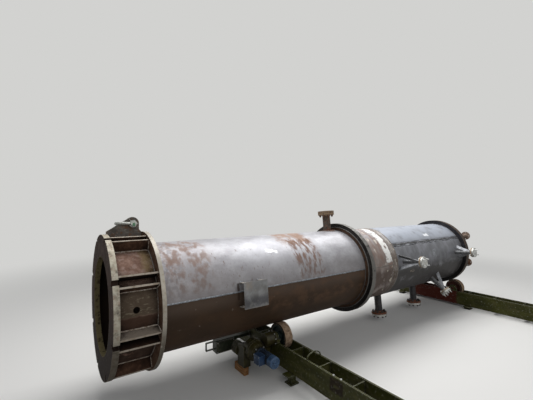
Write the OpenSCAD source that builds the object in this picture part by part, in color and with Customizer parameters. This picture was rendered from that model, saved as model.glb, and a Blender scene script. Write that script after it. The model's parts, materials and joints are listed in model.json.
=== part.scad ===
// A tall process vessel laid on its side across two roller stands while it is being built.
// The vessel's own axis is X, from the base ring at the low end to the nozzles on the far head.
// Clock angles on the vessel are measured round that axis, 0 at the near side and 90 on top.

/* [Shell] */
// Outside diameter of the shell and of the skirt
shell_od = 1100; // [900:10:1300]
// Wall of every shell course
shell_wall = 14; // [8:1:24]
// Distance along the axis from the base ring's face to the mid ring
mid_ring_x = 3215; // [3000:5:3600]
// Length of the short course right after the mid ring
course_2_len = 575; // [450:5:700]
// Width of the narrow band between the two girth welds
girth_band_w = 120; // [60:5:180]
// Length of the third course, which carries the side nozzles
course_3_len = 2144; // [2100:2:2600]
// How far the whole vessel is rolled round its axis as it lies
vessel_roll = 6.5; // [0:0.5:20]
// Height of the vessel's axis over the floor
axis_h = 1000; // [980:5:1200]
// Gap left at a weld between two curved faces
weld_gap = 0.3; // [0.1:0.1:1]

/* [Base ring] */
// How far the base ring stands out past the shell
base_ring_out = 110; // [100:1:120]
// How far the base ring reaches inside the shell
base_ring_in = 84; // [40:1:150]
// Thickness of the base ring
base_ring_t = 50; // [30:1:70]
// Width of the slots for the anchor bolts
slot_w = 46; // [30:1:60]
// Depth of a slot from the ring's rim
slot_depth = 62; // [40:1:75]
// Number of anchor bolt places round the ring
anchor_count = 8; // [6:1:10]

/* [Anchor chairs] */
// How far the compression ring stands out past the base ring
comp_ring_out = 12; // [0:1:15]
// Distance from the base ring's face to the compression ring
comp_ring_x = 375; // [300:5:500]
// Thickness of the compression ring
comp_ring_t = 36; // [20:1:50]
// Thickness of a gusset plate
gusset_t = 16; // [10:1:24]
// Clear space between the two gussets of a pair
gusset_space = 82; // [70:1:100]
// How far a gusset stays in from the rings' rims
gusset_inset = 8; // [4:1:15]
// Hole for the anchor bolt in the compression ring
anchor_hole = 42; // [30:1:46]
// Diameter of the vent hole in the skirt
vent_d = 56; // [40:1:70]
// Distance of the vent hole from the base ring's face
vent_x = 195; // [180:5:240]

/* [Rings] */
// How far the mid ring stands out past the shell
mid_ring_out = 107; // [80:1:120]
// Thickness of the mid ring
mid_ring_t = 74; // [40:1:90]
// How far the collar on the mid ring's face stands out past the shell
collar_out = 50; // [30:1:70]
// Thickness of that collar
collar_t = 12; // [6:1:20]
// How far the end ring stands out past the shell
end_ring_out = 72; // [50:1:100]
// Thickness of the end ring
end_ring_t = 100; // [70:1:120]
// Depth of the domed heads
head_depth = 275; // [220:5:300]
// Wall of the domed heads
head_wall = 16; // [10:1:24]
// Straight edge of the domed heads
head_edge = 40; // [20:1:60]
// Distance from the base ring's face to the inner head's straight edge
inner_head_x = 2700; // [2400:10:2760]

/* [Large nozzles] */
// Outside diameter of the large nozzle necks
large_neck_od = 114.3; // [88.9:0.1:130]
// Wall of the large nozzle necks
large_neck_wall = 6.3; // [4:0.1:9]
// Outside diameter of the large flanges
large_flange_od = 240; // [210:1:256]
// Thickness of a large flange and of its cover
large_flange_t = 28; // [20:1:32]
// Diameter of the large flanges' bolt circle
large_pcd = 190; // [170:1:200]
// Bolt holes in a large flange
large_bolt_hole = 22; // [18:1:24]
// Number of bolts in a large flange
large_bolts = 8; // [4:4:8]
// Distance from the shell to the back of the drain flanges
drain_reach = 287; // [250:1:300]
// Distance from the shell to the back of the top nozzle's flange
top_reach = 242; // [216:1:266]
// Place of the top nozzle along the vessel
top_nozzle_x = 3088; // [3040:1:3090]
// Diameter of the reinforcing pad round the top nozzle
pad_od = 226; // [200:2:228]
// Thickness of the reinforcing pad
pad_t = 12; // [8:1:16]

/* [Small nozzles] */
// Outside diameter of the small nozzle necks
small_neck_od = 60.3; // [48.3:0.1:70]
// Wall of the small nozzle necks
small_neck_wall = 5.5; // [3:0.1:8]
// Outside diameter of the small flanges
small_flange_od = 165; // [150:1:175]
// Thickness of a small flange and of its cover
small_flange_t = 22; // [16:1:26]
// Diameter of the small flanges' bolt circle
small_pcd = 125; // [115:1:130]
// Bolt holes in a small flange
small_bolt_hole = 18; // [14:1:20]
// Number of bolts in a small flange
small_bolts = 4; // [4:4:4]
// Distance from the shell to the back of the side flanges
side_reach = 282; // [250:1:300]
// Place of the first side nozzle and the first drain along the vessel
first_nozzle_x = 4147; // [4120:1:4300]
// Place of the third side nozzle and the second drain along the vessel
middle_nozzle_x = 5200; // [4900:5:5400]
// Place of the second side nozzle along the vessel
last_nozzle_x = 5840; // [5700:5:5880]
// Thickness of the face that the gasket sits on
gasket_t = 3; // [2:0.5:5]
// Thickness of the flat bars that brace a side nozzle
brace_t = 10; // [6:1:12]
// Width of those flat bars
brace_w = 50; // [30:1:60]
// How far a brace's foot reaches from the nozzle's axis
brace_reach = 160; // [140:5:180]
// How far a brace's outer end stays back from the flange
brace_back = 17; // [10:1:40]
// How far in from the shell the end nozzles' axes lie
end_nozzle_in = 130; // [110:1:250]
// Clock angle of the upper end nozzle
end_nozzle_up = 38; // [25:1:50]
// Clock angle of the lower end nozzle
end_nozzle_down = 44; // [25:1:50]
// How far the end nozzles reach past the end ring
end_nozzle_len = 640; // [500:5:700]

/* [Lug and shackle] */
// Thickness of the tailing lug
lug_t = 30; // [20:1:40]
// Distance from the base ring's rim to the lug's eye
lug_eye_out = 97; // [85:1:110]
// Distance from the base ring's face to the lug's eye
lug_eye_x = 290; // [240:1:300]
// Outside radius of the lug's round top
lug_round_r = 66; // [50:1:70]
// Hole in the lug
lug_hole = 48; // [40:1:56]
// Diameter of the shackle's pin
shackle_pin_d = 38; // [28:1:40]
// Diameter of the shackle's bow
bow_d = 30; // [20:1:32]
// Clear width between the shackle's ears
bow_gap = 60; // [50:1:70]
// Reach of the bow from the pin to its crown
bow_reach = 150; // [135:1:160]
// Angle of the lug's slope
slope_angle = 31.5; // [28:0.5:34]
// Gap under the middle of the bow's crown, whose inner side comes down on the lug's two edges
crown_lift = 2.4; // [2.2:0.1:4]

/* [Bracket] */
// Width of the bracket's face plate
plate_w = 287; // [240:1:320]
// Height of the bracket's face plate
plate_h = 262; // [220:1:300]
// Thickness of the bracket's face plate
plate_t = 6; // [4:1:10]
// Place of the bracket's middle along the vessel
bracket_x = 1325; // [1200:5:1340]
// How far the face plate stands off the shell
plate_stand_off = 100; // [80:1:120]
// How far the face plate sits below the clock line of the nozzles
plate_drop = 34; // [0:1:60]
// Width of the flat bars that carry the face plate
strap_w = 45; // [30:1:60]
// Thickness of those flat bars
strap_t = 8; // [5:1:12]

/* [Roller stands] */
// Diameter of a roller over its tyre
wheel_od = 300; // [260:2:320]
// Width of a roller
wheel_w = 100; // [80:2:140]
// Thickness of the tyre
tyre_t = 24; // [16:1:36]
// Angle of each roller from straight below the vessel
wheel_angle = 30; // [25:1:35]
// Gap between a roller and the vessel that lies on it
roll_gap = 0.3; // [0.2:0.1:0.6]
// Diameter of a roller's axle
axle_d = 60; // [40:1:70]
// Clearance all round an axle in its bearing
bearing_fit = 0.08; // [0.02:0.01:0.1]
// Place of the drive stand along the vessel
drive_x = 1880; // [1860:5:2000]
// Height of a stand's side plates
beam_h = 240; // [200:5:250]
// Thickness of a side plate
beam_t = 20; // [12:1:30]
// Half of the side plates' length across the vessel
beam_half = 1900; // [1700:50:2200]
// Clear space between a roller and the side plates beside it
beam_clear = 35; // [20:1:40]
// Height of the middle of the axles over the side plates' top edge
beam_top_drop = 46; // [40:1:70]
// How far a bearing stands out past each face of its side plate
bearing_over = 10; // [6:1:12]
// Width of a foot along the vessel
foot_w = 116; // [100:2:140]
// Length of a foot across the vessel
foot_len = 105; // [90:5:150]
// Distance from the middle of a stand to its inner feet
foot_y = 660; // [500:5:700]
// How far the ledge on top of a foot reaches out past its side plate
ledge_out = 80; // [40:5:100]
// Thickness of the cross plates between the side plates
cross_t = 12; // [8:1:20]
// Distance from the middle of a stand to the first cross plate past a roller
cross_first = 634; // [600:2:700]
// Distance from each of those cross plates to the next
cross_step = 420; // [300:5:430]

/* [Drive] */
// Distance from the front side plate to the motor's axis
motor_out = 214; // [200:1:225]
// Height of the motor's axis below the axle
motor_drop = 120; // [115:1:150]
// Diameter of the motor over its fan cover
motor_d = 128; // [110:2:135]
// Length of the motor from its flange to the end of its fan cover
motor_len = 295; // [240:5:310]
// Diameter of the motor's flange
motor_flange_d = 165; // [150:1:170]
// Diameter of the gearbox's bell round the motor's axis
gear_bell_d = 230; // [200:2:232]
// Length of the bell
gear_bell_len = 110; // [80:5:130]
// Diameter of the output housing round the roller's axle
output_d = 150; // [120:2:160]
// Width of the gearbox's upright case along the vessel
case_w = 90; // [70:1:100]
// Depth of the upright case across the vessel
case_len = 140; // [100:5:150]
// Diameter of the ribbed housing behind the upright case
rib_d = 146; // [120:2:150]
// Height of the timber block under the upright case
timber_h = 85; // [60:1:100]
// Width of the timber block
timber_w = 60; // [50:1:80]
// Length of the timber block
timber_len = 215; // [180:5:240]
// Length of the arm that carries the switch box
arm_len = 496; // [450:2:520]
// Distance from the middle of the stand to the arm's near edge
arm_y = 170; // [160:1:220]
// Width of the arm
arm_w = 60; // [40:1:70]
// Length of the switch box along the arm
switch_len = 245; // [180:5:260]
// Depth of the switch box under the arm
switch_h = 140; // [100:2:150]

/* [Hidden] */
$fn = 96;
tiny = 0.01;
shell_r = shell_od/2;
shell_ir = shell_r - shell_wall;
base_ring_od = shell_od + 2*base_ring_out;
comp_ring_od = base_ring_od + 2*comp_ring_out;
mid_ring_od = shell_od + 2*mid_ring_out;
collar_od = shell_od + 2*collar_out;
end_ring_od = shell_od + 2*end_ring_out;
drain_flange_r = shell_r + drain_reach;
top_flange_r = shell_r + top_reach;
side_flange_r = shell_r + side_reach;
end_nozzle_r = shell_r - end_nozzle_in;
lug_eye_r = base_ring_od/2 + lug_eye_out;
comp_ring_end = comp_ring_x + comp_ring_t;
mid_ring_end = mid_ring_x + mid_ring_t;
course_2_end = mid_ring_end + course_2_len;
band_end = course_2_end + girth_band_w;
course_3_end = band_end + course_3_len;
end_ring_end = course_3_end + end_ring_t;
overall = end_ring_end + end_nozzle_len;
slot_step = 360/anchor_count;
anchor_pcd = base_ring_od - 2*slot_depth + slot_w;
near_slot = slot_step/2;
gusset_out_r = base_ring_od/2 - gusset_inset;
wheel_r = wheel_od/2;
drive_wheel_r = shell_r + wheel_r + roll_gap;
idler_wheel_r = end_ring_od/2 + wheel_r + roll_gap;
idler_x = course_3_end + end_ring_t/2;
drive_axle_h = axis_h - drive_wheel_r*cos(wheel_angle);
idler_axle_h = axis_h - idler_wheel_r*cos(wheel_angle);
drive_axle_y = drive_wheel_r*sin(wheel_angle);
idler_axle_y = idler_wheel_r*sin(wheel_angle);
beam_gap = wheel_w + 2*beam_clear;
beam_top_z = drive_axle_h - beam_top_drop;
front_plate_x = drive_x - beam_gap/2 - beam_t;
axle_back = 3;
bearing_len = beam_t + 2*bearing_over;
strap_span = plate_w - 70;
motor_x = front_plate_x - motor_out;
pin_r = lug_eye_r - (lug_hole - shackle_pin_d)/2 + weld_gap;
// The lug's straight flanks pass the eye a little inside its round top, so that they meet it at an angle.
flank_r = lug_round_r - 1.5;
slope_foot_r = lug_eye_r + flank_r/cos(slope_angle) - (lug_eye_x - base_ring_t)*tan(slope_angle);
// The bow's crown lies on that slope, a bar's radius off it.
slope_to_pin = flank_r + (lug_eye_r - pin_r)*cos(slope_angle);
bow_rest = asin((bow_d/2 + crown_lift + slope_to_pin)/bow_reach) - slope_angle;
motor_from_y = -drive_axle_y - 15;
motor_z = drive_axle_h - motor_drop;
steel_dark = "#3b3a38";
steel_grey = "#8d8b87";
rust = "#6e4a35";
stand_green = "#3f4a26";

// Puts what the vessel's own modules draw where it lies on the rollers.
module as_it_lies() {
    translate([-overall/2, 0, axis_h]) rotate([-vessel_roll, 0, 0]) children();
}

// Puts what the stands' modules draw on the floor under the vessel.
module on_floor() {
    translate([-overall/2, 0, 0]) children();
}

// A place on the vessel: x along it and a clock angle round it, with +Z pointing outwards.
module clock(x, angle) {
    translate([x, 0, 0]) rotate([90 - angle, 0, 0]) children();
}

// A round bar or tube along the vessel's axis.
module disc(x, len, r) {
    translate([x, 0, 0]) rotate([0, 90, 0]) cylinder(h = len, r = r);
}

module ring(x, len, r_out, r_in) {
    difference() {
        disc(x, len, r_out);
        disc(x - 1, len + 2, r_in);
    }
}

// The way that a nozzle's neck takes through the shell, with its weld gap.
module neck_way(x, angle, neck_od) {
    clock(x, angle) cylinder(h = shell_od, d = neck_od + 2*weld_gap);
}

module bolt_ring(pcd, count, hole, depth) {
    for (i = [0:count - 1])
        rotate([0, 0, 360*(i + 0.5)/count]) translate([pcd/2, 0, -1]) cylinder(h = depth + 2, d = hole);
}

module base_ring() {
    color(steel_dark) as_it_lies() difference() {
        ring(0, base_ring_t, base_ring_od/2, shell_ir - base_ring_in);
        for (i = [0:anchor_count - 1])
            clock(base_ring_t/2, near_slot + i*slot_step) anchor_slot();
    }
}

// A slot with a round end, open at the rim.
module anchor_slot() {
    slot_r = slot_w/2;
    translate([0, 0, base_ring_od/2 - slot_depth + slot_r]) {
        rotate([0, 90, 0]) cylinder(h = base_ring_t + 2, r = slot_r, center = true);
        translate([0, 0, slot_depth/2]) cube([base_ring_t + 2, slot_w, slot_depth], center = true);
    }
}

module anchor_gussets() {
    gap_len = comp_ring_x - base_ring_t;
    root_r = shell_r + weld_gap;
    color(rust) as_it_lies()
        for (i = [0:anchor_count - 1], side = [-1, 1])
            clock(base_ring_t, near_slot + i*slot_step)
                translate([0, side*(gusset_space + gusset_t)/2, 0]) difference() {
                    translate([0, -gusset_t/2, shell_r - 30])
                        cube([gap_len, gusset_t, gusset_out_r - shell_r + 30]);
                    translate([-1, -side*(gusset_space + gusset_t)/2, 0])
                        rotate([0, 90, 0]) cylinder(h = gap_len + 2, r = root_r);
                }
}

module compression_ring() {
    color(steel_grey) as_it_lies() difference() {
        ring(comp_ring_x, comp_ring_t, comp_ring_od/2, shell_r + weld_gap);
        for (i = [0:anchor_count - 1])
            clock(comp_ring_x, near_slot + i*slot_step)
                translate([-1, 0, anchor_pcd/2]) rotate([0, 90, 0])
                    cylinder(h = comp_ring_t + 2, d = anchor_hole);
    }
}

module skirt_course() {
    color(rust) as_it_lies() difference() {
        ring(base_ring_t, comp_ring_end - base_ring_t, shell_r, shell_ir);
        clock(vent_x, 0) cylinder(h = shell_od, d = vent_d);
    }
}

module shell_course_1() {
    color(steel_grey) as_it_lies() difference() {
        ring(comp_ring_end, mid_ring_x - comp_ring_end, shell_r, shell_ir);
        neck_way(top_nozzle_x, 90, large_neck_od);
    }
}

// Half of an ellipse turned round the axis: a straight edge first, then the dome.
module domed_head(r_out) {
    arc = [for (i = [0:24]) let (a = 90*i/24) [r_out*cos(a), head_edge + head_depth*sin(a)]];
    inner = [for (i = [24:-1:0]) let (a = 90*i/24)
        [(r_out - head_wall)*cos(a), head_edge + (head_depth - head_wall)*sin(a)]];
    rotate_extrude() polygon(concat([[r_out - head_wall, 0], [r_out, 0]], arc, inner));
}

module inner_head() {
    color(steel_dark) as_it_lies()
        translate([inner_head_x, 0, 0]) rotate([0, -90, 0]) domed_head(shell_ir - weld_gap);
}

module mid_ring() {
    color(steel_grey) as_it_lies() {
        difference() {
            union() {
                disc(mid_ring_x, mid_ring_t, mid_ring_od/2);
                disc(mid_ring_x - collar_t, collar_t + 1, collar_od/2);
            }
            disc(mid_ring_x - collar_t - 1, collar_t + 1, shell_r + weld_gap);
            disc(mid_ring_x - collar_t - 1, mid_ring_t + collar_t + 2, shell_ir);
        }
    }
}

module shell_course_2() {
    color(rust) as_it_lies() ring(mid_ring_end, course_2_len, shell_r, shell_ir);
}

module girth_band() {
    color(rust) as_it_lies() ring(course_2_end, girth_band_w, shell_r, shell_ir);
}

module shell_course_3() {
    color(steel_dark) as_it_lies() difference() {
        ring(band_end, course_3_len, shell_r, shell_ir);
        neck_way(first_nozzle_x, 0, small_neck_od);
        neck_way(last_nozzle_x, 0, small_neck_od);
        neck_way(middle_nozzle_x, -45, small_neck_od);
        neck_way(first_nozzle_x, -90, large_neck_od);
        neck_way(middle_nozzle_x, -90, large_neck_od);
    }
}

module end_ring() {
    color(steel_grey) as_it_lies() ring(course_3_end, end_ring_t, end_ring_od/2, shell_ir);
}

module end_head() {
    color(steel_dark) as_it_lies() difference() {
        translate([end_ring_end, 0, 0]) rotate([0, 90, 0]) domed_head(shell_r);
        for (angle = [end_nozzle_up, -end_nozzle_down])
            end_nozzle_place(angle) cylinder(h = overall, d = small_neck_od + 2*weld_gap);
    }
}

// A nozzle's neck and flange from neck_from to the flange's back, all measured from the axis.
module nozzle(neck_od, neck_wall, neck_from, flange_r, flange_od, flange_t, pcd, count, hole) {
    difference() {
        union() {
            translate([0, 0, neck_from]) cylinder(h = flange_r - neck_from + 1, d = neck_od);
            translate([0, 0, flange_r - flange_t*0.6])
                cylinder(h = flange_t*0.6 + tiny, d1 = neck_od, d2 = neck_od + flange_t*0.9);
            translate([0, 0, flange_r]) cylinder(h = flange_t, d = flange_od);
            translate([0, 0, flange_r + flange_t - tiny]) cylinder(h = gasket_t/2 + tiny, d = pcd - hole - 8);
        }
        translate([0, 0, neck_from - 1]) cylinder(h = overall, d = neck_od - 2*neck_wall);
        translate([0, 0, flange_r]) bolt_ring(pcd, count, hole, flange_t);
    }
}

// The blind cover that closes a nozzle, with its raised face.
module cover(flange_r, flange_od, flange_t, pcd, count, hole) {
    cover_r = flange_r + flange_t + gasket_t;
    difference() {
        union() {
            translate([0, 0, cover_r]) cylinder(h = flange_t, d = flange_od);
            translate([0, 0, cover_r - gasket_t/2]) cylinder(h = gasket_t, d = pcd - hole - 8);
        }
        translate([0, 0, cover_r]) bolt_ring(pcd, count, hole, flange_t);
    }
}

module large_nozzle(flange_r) {
    nozzle(large_neck_od, large_neck_wall, shell_ir - 12, flange_r, large_flange_od,
        large_flange_t, large_pcd, large_bolts, large_bolt_hole);
}

module large_cover(flange_r) {
    cover(flange_r, large_flange_od, large_flange_t, large_pcd, large_bolts, large_bolt_hole);
}

module small_nozzle(from, flange_r) {
    nozzle(small_neck_od, small_neck_wall, from, flange_r, small_flange_od,
        small_flange_t, small_pcd, small_bolts, small_bolt_hole);
}

module small_cover(flange_r) {
    cover(flange_r, small_flange_od, small_flange_t, small_pcd, small_bolts, small_bolt_hole);
}

module top_nozzle() {
    color(rust) as_it_lies() clock(top_nozzle_x, 90) {
        large_nozzle(top_flange_r);
        reinforcing_pad();
    }
}

// A round plate bent to the shell, with the neck through it.
module reinforcing_pad() {
    difference() {
        intersection() {
            cylinder(h = shell_od, d = pad_od);
            rotate([0, 90, 0]) cylinder(h = 2*pad_od, r = shell_r + pad_t, center = true);
        }
        rotate([0, 90, 0]) cylinder(h = 2*pad_od + 2, r = shell_r + weld_gap, center = true);
        cylinder(h = shell_od, d = large_neck_od - large_neck_wall);
    }
}

module top_cover() {
    color(rust) as_it_lies() clock(top_nozzle_x, 90) large_cover(top_flange_r);
}

module side_nozzle(x, angle) {
    color(steel_grey) as_it_lies() clock(x, angle) small_nozzle(shell_ir - 12, side_flange_r);
}

module side_nozzle_1() {
    side_nozzle(first_nozzle_x, 0);
}

module side_nozzle_2() {
    side_nozzle(last_nozzle_x, 0);
}

module side_nozzle_3() {
    side_nozzle(middle_nozzle_x, -45);
}

module side_covers() {
    color(steel_grey) as_it_lies() {
        clock(first_nozzle_x, 0) small_cover(side_flange_r);
        clock(last_nozzle_x, 0) small_cover(side_flange_r);
        clock(middle_nozzle_x, -45) small_cover(side_flange_r);
    }
}

// A flat bar from the neck down to the shell. turn swings it round the nozzle.
module brace(turn) {
    neck_r = small_neck_od/2 + weld_gap;
    top_r = side_flange_r - brace_back;
    foot_r = shell_r*0.9;
    lean = atan((brace_reach - neck_r)/(top_r - shell_r));
    foot_out = neck_r + (top_r - foot_r)*tan(lean);
    rotate([0, 0, turn]) rotate([90, 0, 0]) translate([0, 0, -brace_t/2])
        linear_extrude(brace_t)
            polygon([[neck_r, top_r], [neck_r, top_r - brace_w/sin(lean)],
                [foot_out - brace_w/cos(lean), foot_r], [foot_out, foot_r]]);
}

module braces_at(x, angle, turns) {
    difference() {
        clock(x, angle) for (turn = turns) brace(turn);
        disc(x - shell_od/2, shell_od, shell_r + weld_gap);
    }
}

module side_braces() {
    color(steel_grey) as_it_lies() {
        braces_at(first_nozzle_x, 0, [135, 225]);
        braces_at(last_nozzle_x, 0, [-45, 45]);
        braces_at(middle_nozzle_x, -45, [-45, 45]);
    }
}

module drain_nozzles() {
    color(steel_dark) as_it_lies() {
        clock(first_nozzle_x, -90) large_nozzle(drain_flange_r);
        clock(middle_nozzle_x, -90) large_nozzle(drain_flange_r);
    }
}

module drain_covers() {
    color(steel_grey) as_it_lies() {
        clock(first_nozzle_x, -90) large_cover(drain_flange_r);
        clock(middle_nozzle_x, -90) large_cover(drain_flange_r);
    }
}

// The axis of an end nozzle, pointing away from the vessel along it.
module end_nozzle_place(angle) {
    clock(end_ring_end, angle) translate([0, 0, end_nozzle_r]) rotate([0, 90, 0]) children();
}

module end_nozzles() {
    reach = end_nozzle_r/shell_r;
    dome_h = head_edge + (head_depth - head_wall)*sqrt(1 - reach*reach);
    color(rust) as_it_lies()
        for (angle = [end_nozzle_up, -end_nozzle_down])
            end_nozzle_place(angle)
                small_nozzle(dome_h - 60, end_nozzle_len - small_flange_t - gasket_t/2);
}

module tailing_lug() {
    foot_r = shell_r + weld_gap;
    side_x = lug_eye_x + flank_r;
    touch_x = lug_eye_x - flank_r*sin(slope_angle);
    touch_r = lug_eye_r + flank_r*cos(slope_angle);
    color(rust) as_it_lies() rotate([90, 0, 0]) translate([0, 0, -lug_t/2]) difference() {
        linear_extrude(lug_t) union() {
            polygon([[base_ring_t, foot_r], [base_ring_t, slope_foot_r], [touch_x, touch_r],
                [lug_eye_x, lug_eye_r], [side_x, lug_eye_r], [side_x, comp_ring_od/2 + 24],
                [comp_ring_x, comp_ring_od/2], [comp_ring_x, foot_r]]);
            translate([lug_eye_x, lug_eye_r]) circle(r = lug_round_r);
        }
        translate([lug_eye_x, lug_eye_r, -1]) cylinder(h = lug_t + 2, d = lug_hole);
    }
}

// The shackle's pin lies across the lug, down on the inner side of its hole.
module shackle_place() {
    translate([lug_eye_x, 0, pin_r]) rotate([90, 0, 0]) children();
}

module shackle_pin() {
    pin_len = bow_gap + 2*bow_d + 44;
    head_d = shackle_pin_d*1.5;
    color(steel_grey) as_it_lies() shackle_place() {
        cylinder(h = pin_len, d = shackle_pin_d, center = true);
        translate([0, 0, pin_len/2 - 16]) cylinder(h = 16, d = head_d, $fn = 6);
        translate([0, 0, -pin_len/2]) cylinder(h = 12, d = head_d*0.92);
    }
}

// Two ears on the pin, with a round bar bent into a bow between them.
module shackle_bow() {
    ear_w = bow_d*0.92;
    leg_y = (bow_gap + ear_w)/2;
    crown_r = leg_y + 8;
    leg_len = bow_reach - crown_r;
    color(steel_grey) as_it_lies() shackle_place() rotate([0, 0, 180 - bow_rest]) difference() {
        union() {
            for (side = [-1, 1]) {
                translate([0, 0, side*leg_y]) cylinder(h = ear_w, d = shackle_pin_d*1.9, center = true);
                bow_leg(side, leg_y, leg_len, crown_r);
            }
            translate([leg_len, 0, 0]) rotate([90, 0, 0]) rotate([0, 0, -90])
                rotate_extrude(angle = 180) translate([crown_r, 0]) circle(d = bow_d);
        }
        cylinder(h = bow_gap + 4*ear_w, d = shackle_pin_d + 2*bearing_fit, center = true);
    }
}

// One leg, leaning out a little from the ear to the crown.
module bow_leg(side, leg_y, leg_len, crown_r) {
    lean = atan((crown_r - leg_y)/leg_len);
    translate([0, 0, side*leg_y]) rotate([0, 90 - side*lean, 0])
        cylinder(h = leg_len/cos(lean), d = bow_d);
}

module bracket_straps() {
    color(steel_grey) as_it_lies() for (side = [-1, 1])
        clock(bracket_x + side*strap_span/2, 0) translate([0, -plate_drop, 0]) strap();
}

// A flat bar bent into a U: two legs off the shell and a back under the face plate.
module strap() {
    half_h = plate_h/2 - 8;
    plate_r = shell_r + plate_stand_off;
    difference() {
        for (end = [-1, 1])
            translate([-strap_w/2, end > 0 ? half_h - strap_t : -half_h, shell_r*0.9])
                cube([strap_w, strap_t, plate_r - shell_r*0.9]);
        translate([0, plate_drop, 0]) rotate([0, 90, 0])
            cylinder(h = 2*strap_w, r = shell_r + weld_gap, center = true);
    }
    translate([-strap_w/2, -half_h, plate_r - strap_t]) cube([strap_w, 2*half_h, strap_t]);
}

module bracket_plate() {
    color(steel_grey) as_it_lies() clock(bracket_x, 0)
        translate([-plate_w/2, -plate_drop - plate_h/2, shell_r + plate_stand_off])
            cube([plate_w, plate_h, plate_t]);
}

module earthing_lug() {
    color(steel_dark) as_it_lies() clock(comp_ring_end, -79) difference() {
        translate([0, -6, shell_r*0.95]) cube([70, 12, shell_r*0.05 + 42]);
        translate([-1, 0, 0]) rotate([0, 90, 0]) cylinder(h = 90, r = shell_r + weld_gap);
        translate([46, -10, shell_r + 24]) rotate([-90, 0, 0]) cylinder(h = 20, d = 16);
    }
}

// Two upright plates across the vessel with cross plates between them.
module stand_frame(x, axle_h) {
    cross_gap = 10;
    end_back = 20;
    cross_at = concat([for (i = [0:2]) cross_first + i*cross_step], [beam_half - end_back - cross_t]);
    translate([x, 0, axle_h - beam_top_drop - beam_h]) {
        for (side = [-1, 1])
            translate([side*(beam_gap + beam_t)/2 - beam_t/2, -beam_half, 0])
                cube([beam_t, 2*beam_half, beam_h]);
        for (y = concat([-cross_t/2], cross_at, [for (at = cross_at) -at - cross_t]))
            translate([-beam_gap/2, y, cross_gap]) cube([beam_gap, cross_t, beam_h - 2*cross_gap]);
    }
}

module drive_frame() {
    color(stand_green) on_floor() stand_frame(drive_x, drive_axle_h);
}

module idler_frame() {
    color(stand_green) on_floor() stand_frame(idler_x, idler_axle_h);
}

// Feet under both side plates: a sole on the floor, a block up to the plate and a ledge past it.
module feet(x, axle_h) {
    foot_h = axle_h - beam_top_drop - beam_h;
    sole_t = 14;
    outer_y = beam_half - foot_len;
    for (side = [-1, 1], y = [-outer_y, -foot_y, foot_y, outer_y])
        translate([x + side*(beam_gap + beam_t)/2, y, 0]) {
            translate([-foot_w/2, -foot_len/2, 0]) cube([foot_w, foot_len, sole_t]);
            translate([-foot_w/4, -foot_len/3, 0]) cube([foot_w/2, foot_len*2/3, foot_h]);
            translate([side < 0 ? -beam_t/2 - ledge_out : -foot_w/4, -foot_len/2, foot_h - sole_t])
                cube([ledge_out + beam_t/2 + foot_w/4, foot_len, sole_t]);
        }
}

module stand_feet() {
    color(stand_green) on_floor() {
        feet(drive_x, drive_axle_h);
        feet(idler_x, idler_axle_h);
    }
}

// A bearing on a side plate's top edge: a round eye over a saddle.
module bearing(x, y, axle_h) {
    eye_d = axle_d + 50;
    translate([x, y, axle_h]) difference() {
        union() {
            rotate([0, 90, 0]) cylinder(h = bearing_len, d = eye_d, center = true);
            translate([0, 0, -beam_top_drop/2])
                cube([bearing_len, eye_d + 40, beam_top_drop], center = true);
        }
        rotate([0, 90, 0]) cylinder(h = bearing_len + 2, d = axle_d + 2*bearing_fit, center = true);
        translate([0, 0, -beam_top_drop - eye_d/2])
            cube([bearing_len + 2, 2*eye_d, eye_d], center = true);
    }
}

module bearings(x, axle_h, axle_y) {
    for (side = [-1, 1], near = [-1, 1]) bearing(x + side*(beam_gap + beam_t)/2, near*axle_y, axle_h);
}

module wheel_bearings() {
    color(stand_green) on_floor() {
        bearings(drive_x, drive_axle_h, drive_axle_y);
        bearings(idler_x, idler_axle_h, idler_axle_y);
    }
}

module tyre(x, y, z) {
    color("#a08a72") on_floor() translate([x - wheel_w/2, y, z]) rotate([0, 90, 0]) difference() {
        cylinder(h = wheel_w, d = wheel_od);
        translate([0, 0, -1]) cylinder(h = wheel_w + 2, d = wheel_od - 2*tyre_t);
    }
}

// The roller's body: a rim, a web dished in from both faces, a boss and the axle through it.
module hub(x, y, z) {
    rim_r = wheel_r - tyre_t;
    boss_r = axle_d/2 + 22;
    axle_len = beam_gap + 2*beam_t + 2*bearing_over - 2*axle_back;
    dish = 26;
    color(stand_green) on_floor() translate([x, y, z]) rotate([0, 90, 0]) rotate_extrude()
        polygon([[0, -axle_len/2], [axle_d/2, -axle_len/2], [axle_d/2, -wheel_w/2 - 4],
            [boss_r, -wheel_w/2 - 4], [boss_r, -wheel_w/2 + dish], [rim_r - 14, -wheel_w/2 + dish],
            [rim_r - 14, -wheel_w/2], [rim_r, -wheel_w/2], [rim_r, wheel_w/2],
            [rim_r - 14, wheel_w/2], [rim_r - 14, wheel_w/2 - dish], [boss_r, wheel_w/2 - dish],
            [boss_r, wheel_w/2 + 4], [axle_d/2, wheel_w/2 + 4], [axle_d/2, axle_len/2],
            [0, axle_len/2]]);
}

// A round part of the drive whose axis runs across the vessel, like the motor's.
module across(x, y, z, len, r_near, r_far) {
    translate([x, y, z]) rotate([-90, 0, 0]) cylinder(h = len, r1 = r_near, r2 = r_far);
}

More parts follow.
